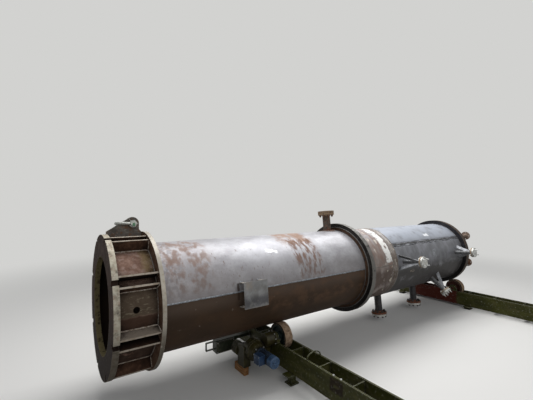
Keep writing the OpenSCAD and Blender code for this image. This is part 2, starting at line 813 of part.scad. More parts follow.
// The right-angle gearbox: a bell round the motor's axis, an output housing round the roller's axle,
// a bracket to the side plate and an upright case with a ribbed housing behind it.
module gearbox() {
    flange_t = 15;
    cone_len = 50;
    bell_y = motor_from_y + flange_t + cone_len;
    bell_r = gear_bell_d/2;
    face_x = front_plate_x - bearing_over;
    housing_x = motor_x + motor_d/2 + 6;
    case_x = motor_x - bell_r - 17;
    case_y = bell_y + gear_bell_len - 50;
    case_top = motor_z + 42;
    color("#4a4a2c") on_floor() {
        across(motor_x, motor_from_y, motor_z, flange_t, motor_flange_d/2, motor_flange_d/2);
        across(motor_x, motor_from_y + flange_t - 1, motor_z, cone_len + 1, bell_r*0.8, bell_r*0.95);
        across(motor_x, bell_y, motor_z, gear_bell_len, bell_r, bell_r);
        across(motor_x, bell_y + 24, motor_z, 14, bell_r + 6, bell_r + 6);
        translate([housing_x, -drive_axle_y, drive_axle_h]) rotate([0, 90, 0])
            cylinder(h = face_x - housing_x, d = output_d);
        translate([face_x - 22, -drive_axle_y, drive_axle_h]) rotate([0, 90, 0])
            cylinder(h = 14, d = output_d + 24);
        translate([motor_x + 30, bell_y + 10, motor_z - 80])
            cube([front_plate_x - motor_x - 30, gear_bell_len - 20, 130]);
        translate([case_x, case_y, timber_h]) cube([case_w, case_len, case_top - timber_h]);
        ribbed_housing(case_x + case_w/2, case_y + case_len);
    }
}

module ribbed_housing(x, y) {
    z = motor_z - 38;
    rib_step = 22;
    across(x, y - 1, z, 5*rib_step, rib_d/2 - 8, rib_d/2 - 8);
    for (i = [0:4]) across(x, y + i*rib_step + 6, z, 8, rib_d/2, rib_d/2);
}

module motor() {
    fan_len = 70;
    body_d = motor_d - 14;
    color("#2f5c9a") on_floor() translate([motor_x, motor_from_y, motor_z]) rotate([90, 0, 0]) {
        cylinder(h = motor_len - fan_len, d = body_d);
        translate([0, 0, 12]) cylinder(h = 22, d = body_d + 18);
        translate([0, 0, motor_len - fan_len - 2]) cylinder(h = fan_len - 8, d = motor_d);
        translate([0, 0, motor_len - 10 - tiny]) cylinder(h = 10, d1 = motor_d, d2 = motor_d - 16);
    }
}

// The motor's terminal box, seated on the side of its body.
module terminal_box() {
    box_h = 96;
    box_len = 108;
    box_out = 74;
    body_r = (motor_d - 14)/2;
    color("#2f5c9a") on_floor() translate([motor_x, motor_from_y - 68 - box_len, motor_z]) difference() {
        translate([10 - body_r - box_out, 0, 4 - box_h/2]) cube([box_out, box_len, box_h]);
        translate([0, -1, 0]) rotate([-90, 0, 0]) cylinder(h = box_len + 2, r = body_r + weld_gap);
    }
}

// A switch box under an arm that is bolted to the drive stand's front side plate, with a bent bar at its end.
module junction_box() {
    arm_t = 8;
    arm_z = beam_top_z - 62;
    box_x = front_plate_x - arm_len;
    hook_out = 125;
    hook_drop = 90;
    color(steel_dark) on_floor() {
        translate([box_x, arm_y, arm_z - arm_t]) cube([arm_len, arm_w, arm_t]);
        translate([box_x + switch_len, arm_y, arm_z - 40])
            cube([arm_len - switch_len, arm_t, 40 - arm_t + tiny]);
        translate([box_x, arm_y - 25, arm_z - arm_t - switch_h])
            cube([switch_len, arm_w + 50, switch_h + tiny]);
        translate([front_plate_x - arm_t, arm_y - 10, arm_z - 70]) cube([arm_t, arm_w + 20, 90]);
        translate([box_x - hook_out, arm_y, arm_z - arm_t]) cube([hook_out + 1, 30, arm_t]);
        translate([box_x - hook_out, arm_y, arm_z - arm_t - hook_drop]) cube([arm_t, 30, hook_drop + 1]);
        translate([box_x - hook_out, arm_y, arm_z - arm_t - hook_drop]) cube([hook_out + 1, 30, arm_t]);
    }
}

module timber_block() {
    case_x = motor_x - gear_bell_d/2 - 17;
    color("#a8763f") on_floor()
        translate([case_x, motor_from_y + 118, 0]) cube([timber_w, timber_len, timber_h]);
}

base_ring();
anchor_gussets();
compression_ring();
skirt_course();
shell_course_1();
inner_head();
mid_ring();
shell_course_2();
girth_band();
shell_course_3();
end_ring();
end_head();
top_nozzle();
top_cover();
side_nozzle_1();
side_nozzle_2();
side_nozzle_3();
side_covers();
side_braces();
drain_nozzles();
drain_covers();
end_nozzles();
tailing_lug();
shackle_pin();
shackle_bow();
bracket_straps();
bracket_plate();
earthing_lug();
drive_frame();
idler_frame();
stand_feet();
wheel_bearings();
tyre(drive_x, -drive_axle_y, drive_axle_h);  // drive_wheel_1_tyre
hub(drive_x, -drive_axle_y, drive_axle_h);  // drive_wheel_1_hub
tyre(drive_x, drive_axle_y, drive_axle_h);  // drive_wheel_2_tyre
hub(drive_x, drive_axle_y, drive_axle_h);  // drive_wheel_2_hub
tyre(idler_x, -idler_axle_y, idler_axle_h);  // idler_wheel_1_tyre
hub(idler_x, -idler_axle_y, idler_axle_h);  // idler_wheel_1_hub
tyre(idler_x, idler_axle_y, idler_axle_h);  // idler_wheel_2_tyre
hub(idler_x, idler_axle_y, idler_axle_h);  // idler_wheel_2_hub
gearbox();
motor();
terminal_box();
junction_box();
timber_block();
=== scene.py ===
"""Dresses a process vessel that lies on two roller stands: finishes, weld beads, studs and small fittings.

Lengths are metres in the frame's own axes. Sizes inside a finish are millimetres, as a maker would give them.
"""

import json
import logging
import math
from collections.abc import Iterable, Sequence
from dataclasses import dataclass, field, replace
from enum import Enum
from itertools import product
from statistics import NormalDist
from typing import ClassVar

import bpy
import numpy as np
from mathutils import Matrix, Vector

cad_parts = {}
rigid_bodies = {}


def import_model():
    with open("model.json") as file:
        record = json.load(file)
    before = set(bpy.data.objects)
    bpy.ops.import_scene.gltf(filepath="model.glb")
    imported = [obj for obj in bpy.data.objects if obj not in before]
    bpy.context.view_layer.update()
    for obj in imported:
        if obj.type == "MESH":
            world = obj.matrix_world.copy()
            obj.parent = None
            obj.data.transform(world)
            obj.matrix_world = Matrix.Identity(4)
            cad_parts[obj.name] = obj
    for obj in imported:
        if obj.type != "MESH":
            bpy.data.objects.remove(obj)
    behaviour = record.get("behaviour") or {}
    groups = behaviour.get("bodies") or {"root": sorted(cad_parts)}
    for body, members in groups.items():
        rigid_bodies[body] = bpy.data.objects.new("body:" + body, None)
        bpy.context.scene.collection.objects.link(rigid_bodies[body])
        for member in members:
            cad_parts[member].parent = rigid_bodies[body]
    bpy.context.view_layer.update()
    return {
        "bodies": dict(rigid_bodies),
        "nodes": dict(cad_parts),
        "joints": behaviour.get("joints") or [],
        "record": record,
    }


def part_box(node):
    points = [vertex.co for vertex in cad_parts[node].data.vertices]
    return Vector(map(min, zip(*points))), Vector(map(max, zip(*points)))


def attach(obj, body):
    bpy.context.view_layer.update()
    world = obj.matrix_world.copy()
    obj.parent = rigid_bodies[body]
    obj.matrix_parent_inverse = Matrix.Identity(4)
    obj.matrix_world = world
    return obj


Point = tuple[float, float, float]
Span = tuple[float, float]
Values = np.ndarray | float
Mesh = tuple[np.ndarray, list[list[int]]]
Socket = bpy.types.NodeSocket

LOG = logging.getLogger("vessel")
MM = 0.001
ALONG = np.array([1.0, 0.0, 0.0])   # along the vessel
WELD_STEP = 0.0028                  # spacing of a weld's points
WELD_GAP = 0.004                    # what a weld stops short by, before a crossing weld or an edge
WELD_RIPPLE = 0.0085                # from one ripple of a weld to the next
WELD_TAPER = 0.006                  # how far from its ends an open weld draws in
EVEN: Point = (1.0, 1.0, 1.0)       # a pattern that isn't stretched


def linear(code: str) -> tuple[float, float, float, float]:
    """Turns an sRGB hex code into the linear colour that Blender's sockets take.

    Args:
        code: the colour as "#rrggbb".

    Returns:
        Red, green, blue and an alpha of 1.
    """
    values = [int(code[i:i + 2], 16) / 255 for i in (1, 3, 5)]
    red, green, blue = (v / 12.92 if v <= 0.04045 else ((v + 0.055) / 1.055) ** 2.4 for v in values)
    return red, green, blue, 1.0


def add(tree: bpy.types.NodeTree, kind: str, inputs: dict | None = None,
        **settings: object) -> bpy.types.Node:
    """Adds one shader node with its settings and links.

    Args:
        tree: the material's or the world's node tree.
        kind: the node's type without its "ShaderNode" prefix.
        inputs: socket name or number to a value, or to the socket that feeds it.
        settings: the node's own properties.

    Returns:
        The new node.
    """
    made = tree.nodes.new("ShaderNode" + kind)
    for name, value in settings.items():
        setattr(made, name, value)
    for key, value in (inputs or {}).items():
        if isinstance(value, Socket):
            tree.links.new(value, made.inputs[key])
        else:
            made.inputs[key].default_value = value
    return made


def cleared(owner: bpy.types.ID) -> bpy.types.NodeTree:
    """The empty node tree of a material or a world."""
    owner.use_nodes = True
    owner.node_tree.nodes.clear()
    return owner.node_tree


class Space(Enum):
    """What a pattern's coordinates follow."""

    SOLID = "solid"   # the frame's own x, y and z, so that a pattern runs through a piece without a seam
    SKIN = "skin"     # along the vessel, round its skin, and out from its axis


@dataclass(frozen=True)
class VesselFrame:
    """Where the vessel lies. x runs from its base ring, and clock angles go round it from the near side."""

    base_x: float = -3.434
    axis_z: float = 1.0
    roll: float = math.radians(6.5)

    def outward(self, clock: Values) -> np.ndarray:
        """The unit vector away from the axis at each clock angle, in degrees."""
        angle = np.radians(clock) + self.roll
        return np.stack([np.zeros_like(angle), -np.cos(angle), np.sin(angle)], -1)

    def along_clock(self, clock: Values) -> np.ndarray:
        """The unit vector in which the clock angle grows."""
        angle = np.radians(clock) + self.roll
        return np.stack([np.zeros_like(angle), np.sin(angle), np.cos(angle)], -1)

    def at(self, x: Values, radius: Values, clock: Values, aside: Values = 0.0) -> np.ndarray:
        """Points on the vessel.

        Args:
            x: distance from the base ring's face.
            radius: distance from the axis.
            clock: clock angle in degrees.
            aside: shift along the growing clock angle, in metres.

        Returns:
            An array of points, one for each of the values.
        """
        values = (np.asarray(v, float) for v in (x, radius, clock, aside))
        x, radius, clock, aside = np.broadcast_arrays(*values)
        middle = np.stack([x + self.base_x, np.zeros_like(x), np.full_like(x, self.axis_z)], -1)
        return middle + radius[..., None] * self.outward(clock) + aside[..., None] * self.along_clock(clock)

    def nozzle(self, x: float, clock: float) -> Matrix:
        """The frame of a nozzle, on the vessel's axis: its x along the vessel and its z outwards."""
        columns = (ALONG, self.along_clock(clock), self.outward(clock))
        turned = Matrix([[float(c[i]) for c in columns] for i in range(3)]).to_4x4()
        return Matrix.Translation(Vector(self.at(x, 0.0, clock).tolist())) @ turned


VESSEL = VesselFrame()


@dataclass(frozen=True)
class Sizes:
    """The vessel's sizes that small fittings sit on, as the part's source has them, in metres."""

    shell_r: float = 0.550
    base_ring_t: float = 0.050
    comp_ring_x: float = 0.375
    comp_ring_end: float = 0.411
    gusset_r: float = 0.652
    gusset_t: float = 0.016
    gusset_space: float = 0.082
    anchor_count: int = 8
    mid_ring_x: float = 3.215
    mid_ring_end: float = 3.289
    collar_t: float = 0.012
    collar_r: float = 0.600
    girth_1: float = 3.864
    girth_2: float = 3.984
    course_3_end: float = 6.128
    end_ring_end: float = 6.228
    top_nozzle_x: float = 3.088
    first_nozzle_x: float = 4.147
    middle_nozzle_x: float = 5.200
    last_nozzle_x: float = 5.840
    lug_t: float = 0.030
    bracket_x: float = 1.325
    small_neck_r: float = 0.03015
    large_neck_r: float = 0.05715
    pad_r: float = 0.113
    end_nozzle_r: float = 0.420
    end_nozzle_clocks: Span = (38.0, -44.0)
    head_edge: float = 0.040                    # the end head's straight edge
    head_depth: float = 0.275                   # the depth of its half ellipse


S = Sizes()


@dataclass(frozen=True)
class Region:
    """Where a patch keeps to. A side that is None has no limit."""

    x: Span | None = None                       # metres from the base ring's face
    clock: Span | None = None                   # degrees, 0 on the near side, 90 on top, -90 below
    radius: Span | None = None                  # metres from the axis
    box: tuple[Point, Point] | None = None      # two opposite corners in the frame, in metres
    feather: float = 30.0                       # how softly it ends, in mm
    clock_feather: float = 0.0                  # how softly its clock limits end, where that differs
    ragged: float = 0.0                         # how far its edge wanders, in mm
    ragged_size: float = 60.0                   # how long the edge's bays are, in mm


@dataclass(frozen=True)
class Patch:
    """A film, stain or bare place that lies over what is under it, or a painted highlight, shade or shadow.
    """

    colour: str
    size_mm: float = 1.0
    cover: float = 1.0                          # share of its region that it takes, from 0 to 1
    edge: float = 0.06                          # how softly it ends
    strength: float = 1.0
    region: Region | None = None
    stretch: Point = EVEN
    rough: float | None = None
    metal: float | None = None
    bump_mm: float = 0.0
    detail: float = 6.0
    shift: float = 0.0                          # moves the pattern, so that two of one size differ
    space: Space | None = None                  # the finish's own, if it is None
    ends_only: bool = False                     # keeps to faces that look along the vessel


def film(colour: str, strength: float, region: Region | None = None, **more: object) -> Patch:
    """A patch that covers its whole region evenly."""
    return Patch(colour, strength=strength, region=region, **more)


@dataclass(frozen=True)
class Finish:
    """One material: what it is, how its surface was made, and what lies on it."""

    name: str
    tones: tuple[str, ...]                      # from its darker to its lighter colour
    mottle_mm: float
    rough: float
    metal: float = 0.0
    shine: float = 0.5                          # specular level, lower where rust or dust dulls it
    stretch: Point = EVEN
    space: Space = Space.SOLID
    grain: Point = (4.0, 0.15, 0.12)            # its size and height in mm, and how much it tints
    edge: tuple[str, float] | None = None       # worn edges: their colour, and their width in mm
    corner_dirt_and_shade: tuple[str, float] | None = None      # painted shade in corners, with the dirt there: its colour, and its reach in mm
    coat: float = 0.0
    patches: tuple[Patch, ...] = ()


class Painter:
    """Turns a finish into a node material: a base, and its patches laid over it in order."""

    def __init__(self, finish: Finish) -> None:
        """Starts the material of one finish."""
        self.finish = finish
        self.material = bpy.data.materials.new(finish.name)
        self.tree = cleared(self.material)
        self.places: dict[Space, Socket] = {}
        self.parts: dict[str, Socket] = {}
        self.height: Socket | None = None

    def node(self, kind: str, inputs: dict, **settings: object) -> Socket:
        """The first output of a new node."""
        return add(self.tree, kind, inputs, **settings).outputs[0]

    def math(self, operation: str, first: object, second: object = 0.0, third: float = 0.0) -> Socket:
        """One sum of two values, or of three."""
        return self.node("Math", {0: first, 1: second, 2: third}, operation=operation)

    def place(self, space: Space) -> Socket:
        """The coordinates that a pattern reads: object coordinates, or those unrolled round the vessel.

        On the skin, x is measured from the base ring, y is the arc from the top line down the near side at
        the shell's radius, and z is the distance from the axis. The arc's seam is hidden underneath.
        """
        if space in self.places:
            return self.places[space]
        source = add(self.tree, "TexCoord").outputs["Object"]
        self.places[Space.SOLID] = source
        if space is Space.SKIN:
            split = add(self.tree, "SeparateXYZ", {0: source})
            up = self.math("SUBTRACT", split.outputs["Z"], VESSEL.axis_z)
            near = self.math("MULTIPLY", split.outputs["Y"], -1.0)
            from_top = self.math("ARCTAN2", near, up)
            turned = self.math("ADD", from_top, VESSEL.roll)
            self.parts["angle"] = turned
            self.parts["x"] = self.math("SUBTRACT", split.outputs["X"], VESSEL.base_x)
            squares = self.math("ADD", self.math("POWER", near, 2.0), self.math("POWER", up, 2.0))
            self.parts["radius"] = self.math("SQRT", squares)
            arc = self.math("MULTIPLY", turned, S.shell_r)
            axes = {0: self.parts["x"], 1: arc, 2: self.parts["radius"]}
            self.places[space] = self.node("CombineXYZ", axes)
        return self.places[space]

    def noise(self, space: Space, size_mm: float, stretch: Point, detail: float, shift: float,
              roughness: float = 0.6) -> Socket:
        """Cloudy noise whose blots are about size_mm across."""
        scale = tuple(1.0 / (size_mm * MM * s) for s in stretch)
        where = self.node("Mapping", {"Vector": self.place(space), "Location": (shift, shift * 0.7, -shift),
                                      "Scale": scale})
        return self.node("TexNoise", {"Vector": where, "Scale": 1.0, "Detail": detail,
                                      "Roughness": roughness})

    def wobble(self, size_mm: float, shift: float, reach: float, space: Space = Space.SOLID) -> Socket:
        """Noise that swings about 0, for an uneven edge."""
        cloud = self.noise(space, size_mm, EVEN, 5.0, shift)
        return self.math("MULTIPLY", self.math("SUBTRACT", cloud, 0.5), reach)

    def ramp(self, value: Socket, low: float, high: float) -> Socket:
        """Goes smoothly from 0 at low to 1 at high."""
        return self.node("MapRange", {"Value": value, "From Min": low, "From Max": high},
                         interpolation_type="SMOOTHSTEP")

    def inside(self, value: Socket, low: float, high: float, soft: float) -> Socket:
        """1 between low and high, and 0 outside, with soft ends."""
        rise = self.ramp(value, low - soft, low + soft)
        return self.math("MULTIPLY", rise, self.ramp(value, high + soft, high - soft))

    def region_mask(self, region: Region) -> Socket:
        """The mask of a region: each of its limits in turn, with one ragged edge for all."""
        self.place(Space.SKIN)
        wander: Socket | float = 0.0
        if region.ragged:
            wander = self.wobble(region.ragged_size, 3.1, 4.0 * region.ragged * MM)
        limits = [(self.parts["x"], region.x), (self.parts["radius"], region.radius)]
        if region.box:
            split = add(self.tree, "SeparateXYZ", {0: self.place(Space.SOLID)}).outputs
            limits += [(split[axis], span) for axis, span in zip("XYZ", zip(*region.box))]
        mask: Socket | float = 1.0
        for value, span in limits:
            if span:
                within = self.inside(self.math("ADD", value, wander), *span, region.feather * MM)
                mask = self.math("MULTIPLY", mask, within)
        if region.clock:
            middle = math.radians(90.0 - sum(region.clock) / 2)
            half = math.radians(region.clock[1] - region.clock[0]) / 2
            turned = self.math("SUBTRACT", self.parts["angle"], middle)
            wrapped = self.math("WRAP", turned, math.pi, -math.pi)
            value = self.math("ADD", wrapped, self.math("DIVIDE", wander, S.shell_r))
            feather = (region.clock_feather or region.feather) * MM / S.shell_r
            mask = self.math("MULTIPLY", mask, self.inside(value, -half, half, feather))
        return mask

    def patch_mask(self, patch: Patch) -> Socket:
        """Where a patch lies: its noise above the level that leaves its share of the surface."""
        mask: Socket | float = 1.0
        if patch.cover < 1.0:
            # Noise of this kind spreads about its middle nearly as a normal curve with this width.
            level = NormalDist(0.5, 0.105).inv_cdf(1.0 - patch.cover)
            space = patch.space or self.finish.space
            cloud = self.noise(space, patch.size_mm, patch.stretch, patch.detail, patch.shift)
            mask = self.ramp(cloud, level - patch.edge, level + patch.edge)
        if patch.region:
            mask = self.math("MULTIPLY", mask, self.region_mask(patch.region))
        if patch.ends_only:
            normal = add(self.tree, "NewGeometry").outputs["True Normal"]
            along = self.math("ABSOLUTE", add(self.tree, "SeparateXYZ", {0: normal}).outputs["X"])
            mask = self.math("MULTIPLY", mask, self.ramp(along, 0.5, 0.8))
        if patch.strength < 1.0:
            mask = self.math("MULTIPLY", mask, patch.strength)
        return mask

    def over(self, mask: object, under: object, colour: object, blend: str = "MIX") -> Socket:
        """A colour laid over another by a mask."""
        return self.node("MixRGB", {"Fac": mask, "Color1": under, "Color2": colour}, blend_type=blend)

    def shift_value(self, mask: object, under: object, value: float) -> Socket:
        """A number that turns into another one where the mask is 1."""
        return self.node("MapRange", {"Value": mask, "To Min": under, "To Max": value})

    def raise_by(self, value: object, height_mm: float) -> None:
        """Adds a pattern to the surface's height, in millimetres."""
        part = self.math("MULTIPLY", value, height_mm)
        self.height = part if self.height is None else self.math("ADD", self.height, part)

    def base_colour(self) -> Socket:
        """The finish's tones, mottled, with a fine grain over them."""
        f = self.finish
        cloud = self.noise(f.space, f.mottle_mm, f.stretch, 7.0, 0.4, 0.62)
        ramp = add(self.tree, "ValToRGB", {"Fac": cloud})
        low, high = 0.36, 0.64
        bands = ramp.color_ramp.elements
        bands[0].position, bands[0].color = low, linear(f.tones[0])
        bands[1].position, bands[1].color = high, linear(f.tones[-1])
        for i, tone in enumerate(f.tones[1:-1], 1):
            bands.new(low + (high - low) * i / (len(f.tones) - 1)).color = linear(tone)
        size_mm, height_mm, tint = f.grain
        grain = self.noise(f.space, size_mm, EVEN, 3.0, 1.7)
        shade = self.node("MapRange", {"Value": grain, "From Min": 0.3, "From Max": 0.7,
                                       "To Min": 1.0 - tint, "To Max": 1.0 + tint})
        self.raise_by(grain, height_mm)
        grey = self.node("CombineColor", {0: shade, 1: shade, 2: shade})
        return self.over(1.0, ramp.outputs[0], grey, "MULTIPLY")

    def edge_mask(self, width_mm: float) -> Socket:
        """1 on edges: where the normal of a rounded edge leaves the flat one."""
        rounded = self.node("Bevel", {"Radius": width_mm * MM}, samples=4)
        flat = add(self.tree, "NewGeometry").outputs["True Normal"]
        same = add(self.tree, "VectorMath", {0: rounded, 1: flat}, operation="DOT_PRODUCT").outputs["Value"]
        level = self.math("ADD", same, self.wobble(25.0, 5.2, 0.25, self.finish.space))
        return self.ramp(level, 0.985, 0.90)

    def shade_and_dirt_mask(self, reach_mm: float) -> Socket:
        """1 in corners, by how much of the sky a point sees: painted corner shade, with the dirt that gathers
        there.
        """
        seen = add(self.tree, "AmbientOcclusion", {"Distance": reach_mm * MM}, samples=6).outputs["AO"]
        level = self.math("ADD", seen, self.wobble(30.0, 8.8, 0.5, self.finish.space))
        return self.ramp(level, 0.75, 0.35)

    def paint(self) -> bpy.types.Material:
        """Builds the whole material.

        Returns:
            The finished material.
        """
        f = self.finish
        colour: object = self.base_colour()
        rough: object = f.rough
        metal: object = f.metal
        layers = [(self.patch_mask(p), p) for p in f.patches]
        if f.edge:
            layers.append((self.edge_mask(f.edge[1]), Patch(f.edge[0])))
        # Corners darkened by ambient occlusion: painted shade, with dirt.
        if f.corner_dirt_and_shade:
            layers.append((self.shade_and_dirt_mask(f.corner_dirt_and_shade[1]), Patch(f.corner_dirt_and_shade[0], rough=0.9, metal=0.0)))
        for mask, patch in layers:
            colour = self.over(mask, colour, linear(patch.colour))
            if patch.rough is not None:
                rough = self.shift_value(mask, rough, patch.rough)
            if patch.metal is not None and (patch.metal != f.metal or metal is not f.metal):
                metal = self.shift_value(mask, metal, patch.metal)
            if patch.bump_mm:
                self.raise_by(mask, patch.bump_mm)
        bump = add(self.tree, "Bump", {"Height": self.height, "Distance": MM, "Strength": 1.0})
        if f.edge:
            rounded = self.node("Bevel", {"Radius": f.edge[1] * 0.7 * MM}, samples=4)
            self.tree.links.new(rounded, bump.inputs["Normal"])
        shader = self.node("BsdfPrincipled", {
            "Base Color": colour, "Roughness": rough, "Metallic": metal, "Normal": bump.outputs[0],
            "Coat Weight": f.coat, "Specular IOR Level": f.shine})
        add(self.tree, "OutputMaterial", {"Surface": shader})
        return self.material


# Places that more than one patch keeps to.
BASE_RIM = Region(radius=(0.658, 0.7), feather=1)
COMPRESSION_RIM = Region(radius=(0.669, 0.7), feather=1)
DRAIN_FLANGE = Region(radius=(0.818, 0.92), feather=5)
END_RIM = Region(radius=(0.6205, 0.7), feather=1)
GUSSET_EDGE = Region(radius=(0.6505, 0.7), feather=0.8)
# Underside of a ring, which a near black film darkens as painted shade.
SHADED_RING_UNDERSIDE = Region(clock=(-182, -12), feather=160)
SIDE_FLANGE = Region(radius=(0.824, 0.92), feather=4)

# Hot rolled plate with its mill scale on: a blotchy light grey skin that shines softly where it is whole.
FIRST_COURSE = Finish("hot_rolled_plate_light_scale", ("#949397", "#a2a1a5", "#b1b1b5"), 150, 0.46, 0.35,
    0.25, stretch=(1.3, 1, 1), space=Space.SKIN, grain=(6, 0.07, 0.05), patches=(
    # Paler blotches over the upper side: painted highlight.
    Patch("#c9cbcf", 260, 0.34, 0.16, 0.25, Region(clock=(22, 160), feather=90), stretch=(1.6, 0.8, 1),
          rough=0.42),
    Patch("#8b8486", 26, 0.22, 0.08, 0.22, stretch=(1, 1.4, 1), rough=0.5),
    # A soft paler area on the upper near side: painted highlight.
    film("#c2c2c8", 0.35, Region(x=(1.35, 2.05), clock=(12, 60), feather=240)),
    Patch("#6b676b", 34, 0.46, 0.08, 0.5, Region(x=(0.41, 0.62), clock=(4, 84), feather=60, ragged=30),
          stretch=(1, 1.3, 1), rough=0.6, shift=5.5),
    Patch("#84562f", 80, 0.4, 0.08, 0.62, Region(x=(0.46, 0.92), clock=(8, 84), feather=70, ragged=40),
          stretch=(1, 1.6, 1), rough=0.75, metal=0, detail=8),
    Patch("#8f6a4c", 120, 0.68, 0.12, 0.75, Region(x=(1.93, 2.42), clock=(52, 92), feather=60, ragged=45),
          stretch=(1, 1.6, 1), rough=0.74, metal=0, detail=8),
    Patch("#724b2f", 46, 0.5, 0.09, 0.78, Region(x=(2.02, 2.42), clock=(3, 60), feather=35, ragged=30),
          stretch=(0.9, 2.6, 1), rough=0.8, metal=0, detail=7, shift=2),
    Patch("#6c4a38", 34, 0.08, 0.05, 0.7, Region(x=(0.9, 2), clock=(4, 50), feather=60, ragged=20),
          stretch=(0.9, 2.2, 1), rough=0.8, metal=0, shift=4.3),
    Patch("#7b6a60", 16, 0.06, 0.04, 0.45, stretch=(1, 1.6, 1), rough=0.7, metal=0.1, shift=6),
    Patch("#f2f3f4", 60, 0.5, 0.06, 0.75,
          Region(x=(1.64, 1.8), clock=(37, 45), feather=18, ragged=14, ragged_size=40), stretch=(2.2, 0.8, 1),
          rough=0.35),
    # Darker grey from the side line upwards: painted shade.
    Patch("#75706e", 220, 0.95, 0.12, 0.5, Region(clock=(-2, 24), feather=130), stretch=(1.5, 1, 1)),
    # Darker over the course's end near the skirt, on the near side and top: painted shade.
    Patch("#7d7573", 220, 0.9, 0.12, 0.35, Region(x=(0.4, 1), clock=(-2, 100), feather=250),
          space=Space.SOLID),
    # Dark brown below the side line: a brown film, made darker as painted shade.
    film("#3b2919", 1, Region(clock=(-182, -0.4), feather=9), rough=0.66, metal=0),
    Patch("#2b1e12", 240, 0.5, 0.12, 0.7, Region(clock=(-182, -1), feather=9), stretch=(2, 1, 1), rough=0.7,
          metal=0),
    # Paler just below the side line, fading downwards: painted light.
    film("#5c4e44", 0.6, Region(clock=(-11, -0.6), feather=9, clock_feather=90), rough=0.6),
    Patch("#5a4230", 110, 0.42, 0.1, 0.55, Region(x=(1.5, 3.2), clock=(-34, -2), feather=60),
          stretch=(1.4, 1, 1), rough=0.7, metal=0, shift=7.7),
    # Inside of the shell: dark rusty scale, darkened further as painted shade.
    film("#241a13", 0.92, Region(radius=(0.3, 0.545), feather=2), rough=0.8, metal=0),
    # Dark strip beside the bracket's left strap: the strap's painted shadow.
    film("#33241a", 0.8, Region(x=(1.165, 1.192), clock=(-9, 8.6), feather=5, ragged=3, ragged_size=30),
         rough=0.8, metal=0),
    Patch("#7d7268", 50, 0.04, 0.03, 0.45, Region(clock=(-60, -4)), stretch=(1, 1.2, 1), rough=0.7, shift=9),
))

# Short course after the mid ring: scale gone brown, with a ragged coat of white along its far weld.
SECOND_COURSE = Finish("hot_rolled_plate_brown_scale", ("#7f726c", "#8f8580", "#9f9794"), 120, 0.56, 0.2, 0.3,
    stretch=(1, 1.7, 1), space=Space.SKIN, grain=(6, 0.1, 0.07), patches=(
    # Paler over the upper side: painted highlight.
    Patch("#a5a5a9", 120, 0.75, 0.14, 0.75, Region(clock=(42, 150), feather=110), stretch=(1.2, 1, 1)),
    Patch("#7d5b49", 80, 0.42, 0.13, 0.55, Region(clock=(-8, 82), feather=60), stretch=(1, 2.6, 1), rough=0.7,
          metal=0),
    # Dark brown below the side line: a brown film, made darker as painted shade.
    Patch("#493a32", 150, 0.8, 0.1, 0.85, Region(clock=(-182, -6), feather=60, ragged=14),
          stretch=(1, 1.5, 1), rough=0.68, metal=0),
    Patch("#f0efeb", 60, 0.72, 0.035, 0.95, Region(x=(3.715, 3.852), clock=(3, 80), feather=12, ragged=34),
          stretch=(0.9, 1.6, 1), rough=0.6, metal=0, bump_mm=0.2),
    Patch("#d8d3c6", 110, 0.24, 0.035, 0.75, Region(x=(3.5, 3.76), clock=(20, 80), ragged=26),
          stretch=(0.9, 1.4, 1), rough=0.6, metal=0, bump_mm=0.2, shift=1.3),
    Patch("#cfc8b8", 90, 0.13, 0.03, 0.7, Region(x=(3.66, 3.852), clock=(-56, 3), feather=16, ragged=18),
          stretch=(0.9, 1.2, 1), rough=0.65, metal=0, shift=3.3),
))

# Band between the two girth welds: ground and gone dull brown-grey.
BAND = Finish("ground_band", ("#6d625b", "#82776f", "#9a9591"), 60, 0.55, 0.2, 0.3, stretch=(1, 2.5, 1),
    space=Space.SKIN, grain=(5, 0.15, 0.1), patches=(
    # Paler over the upper side: painted highlight.
    Patch("#b4b2b2", 90, 0.5, 0.08, 0.65, Region(clock=(25, 150), feather=80), stretch=(1, 2.2, 1)),
    Patch("#d8d3c6", 38, 0.16, 0.03, 0.85, Region(clock=(-20, 60)), stretch=(0.8, 1.8, 1), rough=0.6,
          shift=2.2),
    # Dark below the side line: a brown film, made darker as painted shade.
    Patch("#4c4038", 140, 0.8, 0.1, 0.85, Region(clock=(-182, -8), feather=70), space=Space.SOLID, rough=0.68,
          metal=0),
))

